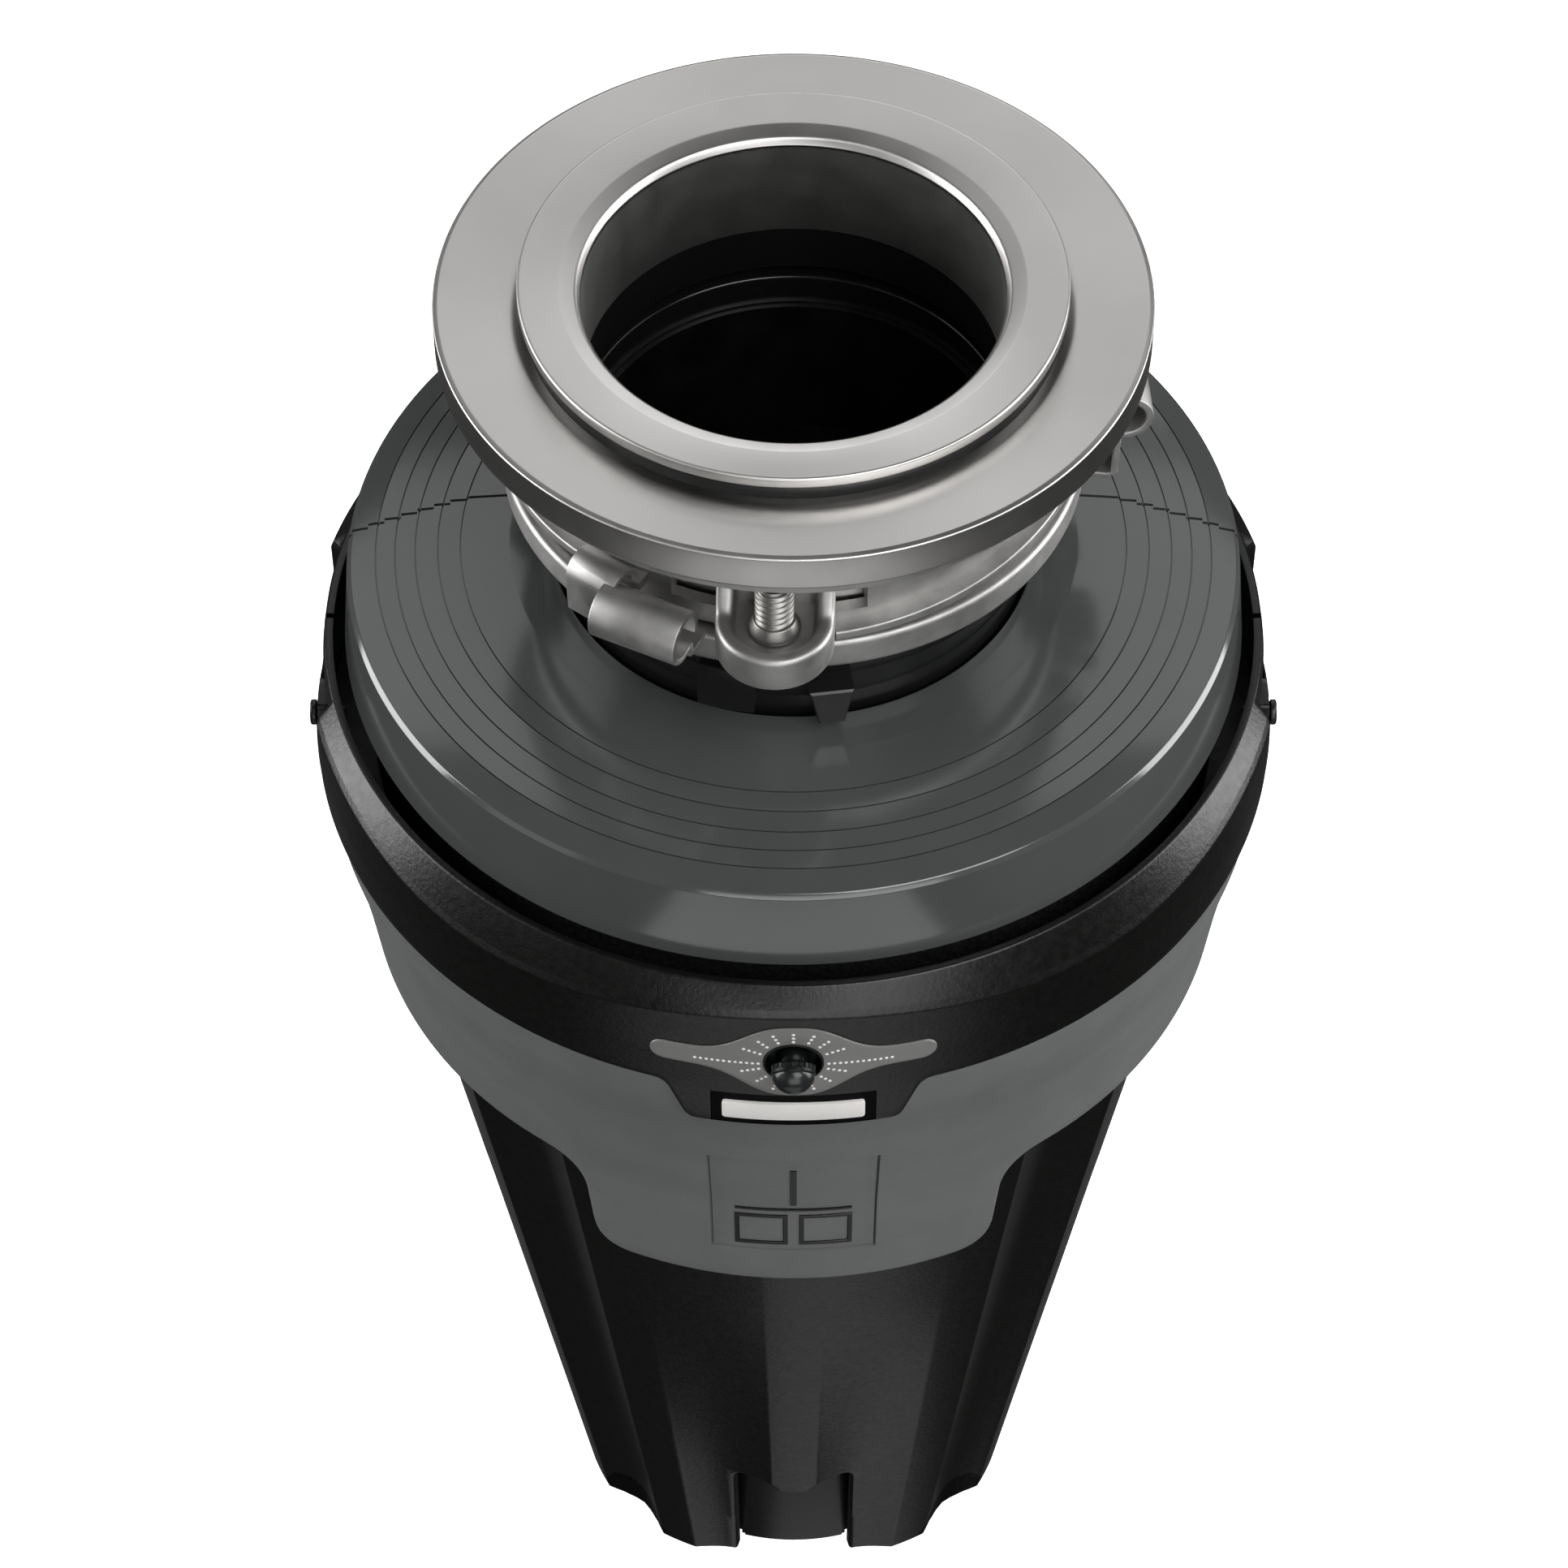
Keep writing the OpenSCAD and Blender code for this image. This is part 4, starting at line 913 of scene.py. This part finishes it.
def lamp_dots():
    """Small raised dots in rays round the lamp and in a row along the panel."""
    spots = []
    for s in (-1, 1):
        spots += [(s * (5.7 + i * 0.93), -0.45) for i in range(12)]
        for angle, count, start in DOT_RAYS:
            if angle == 0 and s < 0:
                continue
            for i in range(count):
                out = start + i * 0.95
                t = math.radians(angle)
                spots.append((s * out * math.sin(t), out * math.cos(t)))
    dots = []
    for x, z in spots:
        if abs(z) > panel_half_height(x) - 0.5:
            continue
        azimuth = math.degrees(math.asin(x / BAND_R))
        dot = capped_lathe([(0, 0), (0.29, 0), (0.29, 0.05), (0.22, 0.1), (0, 0.1)], 14)
        stand = Matrix.Translation((0, -(BAND_R + 0.33), LAMP_Z + z)) @ Matrix.Rotation(math.radians(90), 4, "X")
        dots.append(moved(dot, turn(azimuth) @ stand))
    piece("lamp_panel_dots", "lamp_panel", joined(*dots), sharp=50, finish=finish_of("white_dots"), hides=False)


def along_y(shape, z=0.0):
    """Lays a lathe shape, whose axis is Z, along -Y at height z."""
    return moved(shape, Matrix.Translation((0, 0, z)) @ Matrix.Rotation(math.radians(90), 4, "X"))


def ribbed_collar():
    sections = []
    steps = HEAD_RIBS * 8
    for i in range(steps):
        a = 360 * i / steps
        groove = RIB_DEPTH * max(0, math.cos(math.radians(a * HEAD_RIBS))) ** 2
        ring = [(0.5, 1.1), (3.0, 1.1), (3.35 - groove * 0.5, 1.15), (3.6 - groove, 1.4), (3.6 - groove, 2.1),
                (3.62, 2.2), (3.62, 2.7), (3.5, 2.9), (2.7, 2.9), (0.5, 2.9)]
        sections.append([polar(r, a, z) for r, z in ring])
    return loft(sections, wrap=True)


def lamp_parts():
    """Bezel, swivel cup, ribbed head on its ball, and lens, the last two aimed downwards."""
    bezel = rounded([(2.4, 78.2), (4.95, 78.2, 0.1), (4.95, 83.5, 0.3), (4.6, 83.5, 0.12), (4.6, 79, 0),
                     (2.4, 79, 0)], 0.1, 4)
    piece("lamp_bezel_ring", "lamp_bezel", along_y(lathe(bezel, 96), LAMP_Z), sharp=40)
    cup = rounded([(0.02, 79.05, 0), (4.3, 79.05, 0.2), (4.3, 81.2, 0.3), (2.3, 81.2, 0.2), (2.0, 80.9, 0.1),
                   (0.02, 79.8, 0)], 0.1, 4)
    piece("lamp_swivel_dish", "lamp_swivel_cup", along_y(lathe(cup, 72), LAMP_Z), sharp=40)
    aim = Matrix.Translation(LAMP_PIVOT) @ Matrix.Rotation(math.radians(LAMP_TILT), 4, "X")
    ball = [(2.4 * math.sin(t), -2.4 * math.cos(t)) for t in [math.radians(a) for a in spread(0, 130, 20)]]
    ball[0] = (0, -2.4)
    neck = capped_lathe(ball + [(1.8, 1.6), (0, 1.6)], 48)
    core = capped_lathe([(0, 1.2), (0.6, 1.2), (0.6, 2.8), (0, 2.8)], 24)
    piece("lamp_head_ribbed", "lamp_head", moved(along_y(joined(neck, ribbed_collar(), core)), aim), sharp=30)
    dome = [(0, 2.91), (3.45, 2.91)] + [(LENS_R * math.cos(t), 2.95 + LENS_RISE * math.sin(t))
                                         for t in [math.radians(a) for a in spread(2, 90, 24)]]
    dome[-1] = (0, 2.95 + LENS_RISE)
    piece("lamp_lens_dome", "lamp_lens", moved(along_y(capped_lathe(dome, 64)), aim), sharp=40)


NAME_HALF = 11.8
NAME_RISE = 2.1
NAME_Z = 208.3


def filled_loft(sections):
    """A loft of mirrored outlines that start at the lower left. Its last end is filled with strips across, so
    that a bent top stays bent."""
    verts, faces = loft(sections)
    n = len(sections[0])
    start = len(verts) - n
    faces.pop()
    order = sorted(range(n), key=lambda i: (round(verts[start + i][0], 4), verts[start + i][2]))
    columns = {}
    for i in order:
        columns.setdefault(round(verts[start + i][0], 2), []).append(start + i)
    xs = sorted(columns)
    for a, b in zip(xs, xs[1:]):
        loop = columns[a] + columns[b][::-1]
        faces.append(tuple(dict.fromkeys(loop)))
    return verts, faces


def plates():
    """Plain bar in place of a name, and plain signs in place of a rating."""
    ground = patch(13.6, 204.4, 212.3, -0.88, -0.45, lambda z: BAND_R)
    piece("name_ground", "name_plate", ground, finish=finish_of("recess_black"))
    outline = dense(rounded([(-NAME_HALF, -NAME_RISE), (NAME_HALF, -NAME_RISE), (NAME_HALF, NAME_RISE),
                             (-NAME_HALF, NAME_RISE)], 0.7, 6), 1)
    sections = []
    for h, d in ((-0.5, 0), (0.05, 0), (0.17, 0.06), (0.2, 0.16)):
        across, up = (1 - d / NAME_HALF) / BAND_R, 1 - d / NAME_RISE
        sections.append([polar(BAND_R + h, math.degrees(u * across), NAME_Z + z * up) for u, z in outline])
    piece("name_bar", "name_plate", filled_loft(sections), hides=False, sharp=30)
    rating_sign()


def on_belt(shape):
    """Bends a flat shape, drawn with x across, z up and y as height, onto the belt's surface."""
    verts, faces = shape
    out = []
    for x, h, z in verts:
        out.append(polar(belt_r(z) + h, math.degrees(x / belt_r(172)), z))
    return out, faces


def raised(outline, low=-0.55, high=-0.14, edge=0.1):
    """Flat sign from an outline of (x, z) points, with a chamfered top."""
    cx = sum(p[0] for p in outline) / len(outline)
    cz = sum(p[1] for p in outline) / len(outline)
    layers = []
    for h, d in ((low, 0), (high - edge, 0), (high, edge)):
        layer = []
        for x, z in outline:
            k = 1 - d / max(0.3, math.hypot(x - cx, z - cz))
            layer.append((cx + (x - cx) * k, h, cz + (z - cz) * k))
        layers.append(layer)
    return loft(layers)


def sign_frame(x0, x1, z0, z1, stroke):
    """Frame drawn with one stroke, as a loft round its four corners."""
    low, high, edge = -0.55, -0.14, 0.1
    sections = []
    sides = [((x0, z0), (x1, z0)), ((x1, z0), (x1, z1)), ((x1, z1), (x0, z1)), ((x0, z1), (x0, z0))]
    mid_x, mid_z = (x0 + x1) / 2, (z0 + z1) / 2
    half_x, half_z = (x1 - x0) / 2, (z1 - z0) / 2
    for (ax, az), (bx, bz) in sides:
        for k in range(8):
            x, z = lerp(ax, bx, k / 8), lerp(az, bz, k / 8)
            loop = []
            for d, h in ((0, low), (stroke, low), (stroke, high - edge), (stroke - edge, high), (edge, high),
                         (0, high - edge)):
                kx, kz = 1 - d / half_x, 1 - d / half_z
                loop.append((mid_x + (x - mid_x) * kx, h, mid_z + (z - mid_z) * kz))
            sections.append(loop)
    return loft(sections, wrap=True)


def sign_bar(x0, x1, z0, z1):
    steps = 12
    outline = [(x, z0) for x in spread(x0, x1, steps)] + [(x, z1) for x in spread(x1, x0, steps)]
    return raised(outline, edge=0.05)


def rating_sign():
    """A stroke, a line and two frames in place of the rating's text."""
    shapes = [sign_bar(-0.55, 0.55, 171.4, 183.2), sign_bar(-10.1, 10.1, 169.65, 170.15),
              sign_frame(-10.2, -1, 158.9, 168.1, 0.8), sign_frame(1, 10.2, 158.9, 168.1, 0.8)]
    piece("rating_ground", "rating_plate", patch(14.1, 157.1, 186.9, -0.88, -0.45, belt_r), sharp=30)
    piece("rating_sign", "rating_plate", joined(*[on_belt(s) for s in shapes]), hides=False, sharp=30,
          finish=finish_of("bell_black"))


# ------------------------------------------------------------- lower shell

def scoop_depth(z):
    """Share of the ridge radius by which the panels are scooped out at height z."""
    return lookup(z, [(0, 0.055), (40, 0.046), (80, 0.026), (115, 0.008), (184, 0.004)])


def shell_factor(a, z):
    """Radius at azimuth a as a share of the ridge radius."""
    a = abs((a + 45) % 90 - 45)
    if a > 35:
        return lookup(a, [(35, 1.0), (38.5, 0.967), (42, 0.944), (45, 0.935)])
    if a > 26:
        return lookup(a, [(26, 0.986), (35, 1.0)])
    if a > 4.9:
        t = (a - 4.9) / (26 - 4.9)
        return lerp(0.979, 0.986, t) - scoop_depth(z) * math.sin(math.pi * t) ** 0.9
    return 0.979


def shell_azimuths():
    """Azimuths of the shell's columns in one quarter, close together at the ridges and creases."""
    half = [0, 1.2, 2.4, 3.6, 4.5, 4.9, 5.2, 5.6, 6.2, 7, 8.5, 10, 11.5, 13, 14.5, 16, 17.5, 19, 20.5, 22, 23.5,
            24.8, 25.5, 26, 26.5, 27.2, 28.5, 30, 31.5, 33, 34.2, 34.75, 35, 35.25, 35.8, 37, 38.5, 40, 41.2,
            42.4, 43.6]
    return [-a for a in half[:0:-1]] + half + [45]


def shell_cutter(outline, azimuth):
    """Cutter that follows the shell's outside and flares at it, so that the cut's edge comes out rounded.
    The outline is of (u, z) points, u in millimetres along the surface."""
    sections = []
    normals = outline_normals(outline)
    for depth, grow in ((-9, 0), (-1.0, 0), (-0.55, 0.1), (-0.22, 0.35), (0.02, 0.95), (14, 1.6)):
        loop = []
        for (u, z), (nu, nz) in zip(outline, normals):
            u1, z1 = u + nu * grow, z + nz * grow
            r = ridge_r(max(0, z1))
            a = azimuth + math.degrees(math.asin(max(-1, min(1, u1 / (r * 0.965)))))
            loop.append(polar(r * shell_factor(a, z1) + depth, a, z1))
        sections.append(loop)
    return loft(sections)


def notch_outline():
    """U notch with a lip between two round lobes at its top."""
    half, lobe, lip, top = 11.9, 3.8, 36.6, 40.2
    corners = [(half, -6, 0), (half, top - 0.4, lobe), (half - 2 * lobe + 0.6, top, 2.4),
               (half - 2.4 * lobe, lip, 2.6), (-half + 2.4 * lobe, lip, 2.6), (-half + 2 * lobe - 0.6, top, 2.4),
               (-half, top - 0.4, lobe), (-half, -6, 0)]
    return dense(rounded(corners, 1, 7), 1.2)


def arch_outline():
    corners = [(8.6, -6, 0), (8.2, 1.5, 2.5), (4.5, 9.2, 4), (-4.5, 9.2, 4), (-8.2, 1.5, 2.5), (-8.6, -6, 0)]
    return dense(rounded(corners, 1, 6), 1.2)


def lower_shell():
    wall = 2.4
    heights = [0, 0.25, 0.7, 1.5] + [z for z in spread(5, 176, 57)] + [SHELL_TOP]
    sections = []
    for quarter in (0, 90, 180, 270):
        for a in shell_azimuths():
            azimuth = a + quarter
            loop = []
            for z in heights:
                edge = 0.5 if z == 0 else 0.15 if z == 0.25 else 0
                loop.append((ridge_r(z) * shell_factor(a, z) - edge, azimuth, z))
            for z in heights[::-1]:
                loop.append((ridge_r(z) * shell_factor(a, z) - wall, azimuth, z))
            sections.append([polar(*p) for p in loop])
    cuts = [shell_cutter(notch_outline(), k * 90) for k in range(4)]
    cuts += [shell_cutter(arch_outline(), 45 + k * 90) for k in range(4)]
    port = [(-37, 107), (37, 107), (37, 157), (-37, 157)]
    cuts += [prism(rounded(port, 4, 6), 45, 85), hose_window()]
    piece("lower_shell_fluted", "lower_shell", loft(sections, wrap=True), cuts=cuts, sharp=30)


def hole(x, y, r):
    """Cutter for a round hole up through the bell's floor."""
    return moved(capped_lathe([(0, 0), (r, 0), (r, 10), (0, 10)], 40), Matrix.Translation((x, y, 0)))


def end_bell():
    """Wall with four tongues at its lower edge, and the floor with its holes."""
    wall = rounded([(36.7, 0.3), (39.2, 0.3, 0.5), (39.2, 46, 0.4), (36.7, 46, 0.2)], 0.2, 4)
    plate = capped_lathe([(0, 4), (38, 4), (38, 7.5), (0, 7.5)], 96)
    boss = lathe([(14, 7), (17, 7), (17, 17.5), (14, 17.5)], 64)
    cuts = []
    for k in range(4):
        for z, half in ((1.2, 30.5), (2.4, 29.6), (3.4, 28.6), (4.4, 27.4)):
            cuts.append(sector(36.6, 41.2, -1, z, 45 + 90 * k, half, 24))
    bolt = polar(34, 20, 0)
    cuts += [hole(0, -24, 5.15), hole(bolt[0], bolt[1], 2.3), hole(-bolt[0], -bolt[1], 2.3)]
    cuts.append(prism([(-9, 0), (9, 0), (9, 10), (-9, 10)], 18.3, 25.3))
    cuts.append(prism(circle(7, 16.2, 40), 30, 45))
    piece("end_bell_moulded", "end_bell", lathe(wall, 200), adds=[plate, boss], cuts=cuts, sharp=35)


# ------------------------------------------------------------------- stage

def floor():
    """Pale floor. It sends no light of its own to the disposal, so its reflections come from the lights."""
    mesh = bpy.data.meshes.new("floor")
    half = 6.0
    corners = [(-half, -half, 0), (half, -half, 0), (half, half, 0), (-half, half, 0)]
    mesh.from_pydata(corners, [], [(0, 1, 2, 3)])
    obj = bpy.data.objects.new("floor", mesh)
    bpy.context.scene.collection.objects.link(obj)
    p = Paint("floor", Specular_IOR_Level=0.0, Roughness=0.9)
    p.colour(p.noise(400, 2), (0.93, 0.93, 0.93), (0.95, 0.95, 0.95))
    p.shader.inputs["Emission Color"].default_value = (1, 1, 1, 1)
    p.shader.inputs["Emission Strength"].default_value = 1.0
    mesh.materials.append(p.mat)
    obj.visible_glossy = False
    obj.visible_diffuse = False
    obj.visible_shadow = False


def backdrop():
    """Plain white surround that only the camera sees."""
    bpy.ops.mesh.primitive_uv_sphere_add(segments=48, ring_count=24, radius=9, location=(0, 0, 0))
    obj = bpy.context.object
    obj.name = obj.data.name = "backdrop"
    obj.data.materials.append(bpy.data.objects["floor"].data.materials[0])
    obj.visible_glossy = obj.visible_diffuse = obj.visible_transmission = obj.visible_shadow = False


def softbox(name, place, target, size, brightness):
    """Rectangular light whose face has the given brightness, 1 being the white of the picture."""
    data = bpy.data.lights.new(name, "AREA")
    data.shape = "RECTANGLE"
    data.size, data.size_y = size
    data.energy = brightness * math.pi * size[0] * size[1]
    obj = bpy.data.objects.new(name, data)
    obj.location = place
    obj.rotation_mode = "QUATERNION"
    obj.rotation_quaternion = (Vector(place) - Vector(target)).to_track_quat("Z", "Y")
    bpy.context.scene.collection.objects.link(obj)


def studio():
    world = bpy.data.worlds.new("studio")
    world.use_nodes = True
    world.node_tree.nodes["Background"].inputs["Color"].default_value = (1, 1, 1, 1)
    world.node_tree.nodes["Background"].inputs["Strength"].default_value = 0.025
    bpy.context.scene.world = world
    middle = (0, 0, 0.2)
    softbox("top_back", (0, 0.72, 1.2), middle, (1.7, 0.6), 0.78)
    softbox("low_back", (0.05, 1.2, 0.72), middle, (0.8, 0.6), 1.6)
    softbox("key", (0.5, -0.8, 1.2), middle, (0.9, 0.9), 4.5)
    softbox("front", (0.15, -1.3, 0.4), middle, (1.2, 0.8), 2.2)
    softbox("front_left", (-1.1, -0.7, 0.5), middle, (0.5, 0.8), 0.4)
    softbox("left", (-1.0, 0.1, 0.45), middle, (0.6, 1.0), 6)
    softbox("right", (1.0, 0.1, 0.45), middle, (0.6, 1.0), 6)
    softbox("under_front", (0.06, -0.22, -0.5), (0.06, -0.22, 0), (0.24, 0.4), 0.35)
    softbox("under_far", (0, -0.8, -0.5), (0, -0.8, 0), (0.9, 0.6), 0.7)
    softbox("under_back", (0, 0.36, -0.5), (0, 0.36, 0), (0.8, 0.3), 0.12)
    bpy.context.scene.view_settings.view_transform = "Standard"
    bpy.context.scene.view_settings.look = "None"


def camera():
    """The camera that was fitted to the photo's ellipses."""
    data = bpy.data.cameras.new("camera")
    data.lens = 109.8
    data.sensor_width = 36
    data.shift_x = -0.006
    obj = bpy.data.objects.new("camera", data)
    obj.location = (0, -0.5447, 0.8443)
    obj.rotation_euler = (math.radians(39.91), 0, 0)
    bpy.context.scene.collection.objects.link(obj)
    bpy.context.scene.camera = obj


camera()
studio()
floor()
backdrop()
for name, node in nodes.items():
    node.data.materials.clear()
    node.data.materials.append(finish_of(slot_of[name]))
    node.data.shade_smooth()
    node.data.set_sharp_from_angle(angle=math.radians(32))
sink_flange()
splash_guard()
mounting_ring()
mounting_screws()
lock_ring()
mounting_gasket()
top_covers()
belt_cover()
band()
band_pins()
lamp_panel()
lamp_parts()
plates()
lower_shell()
end_bell()
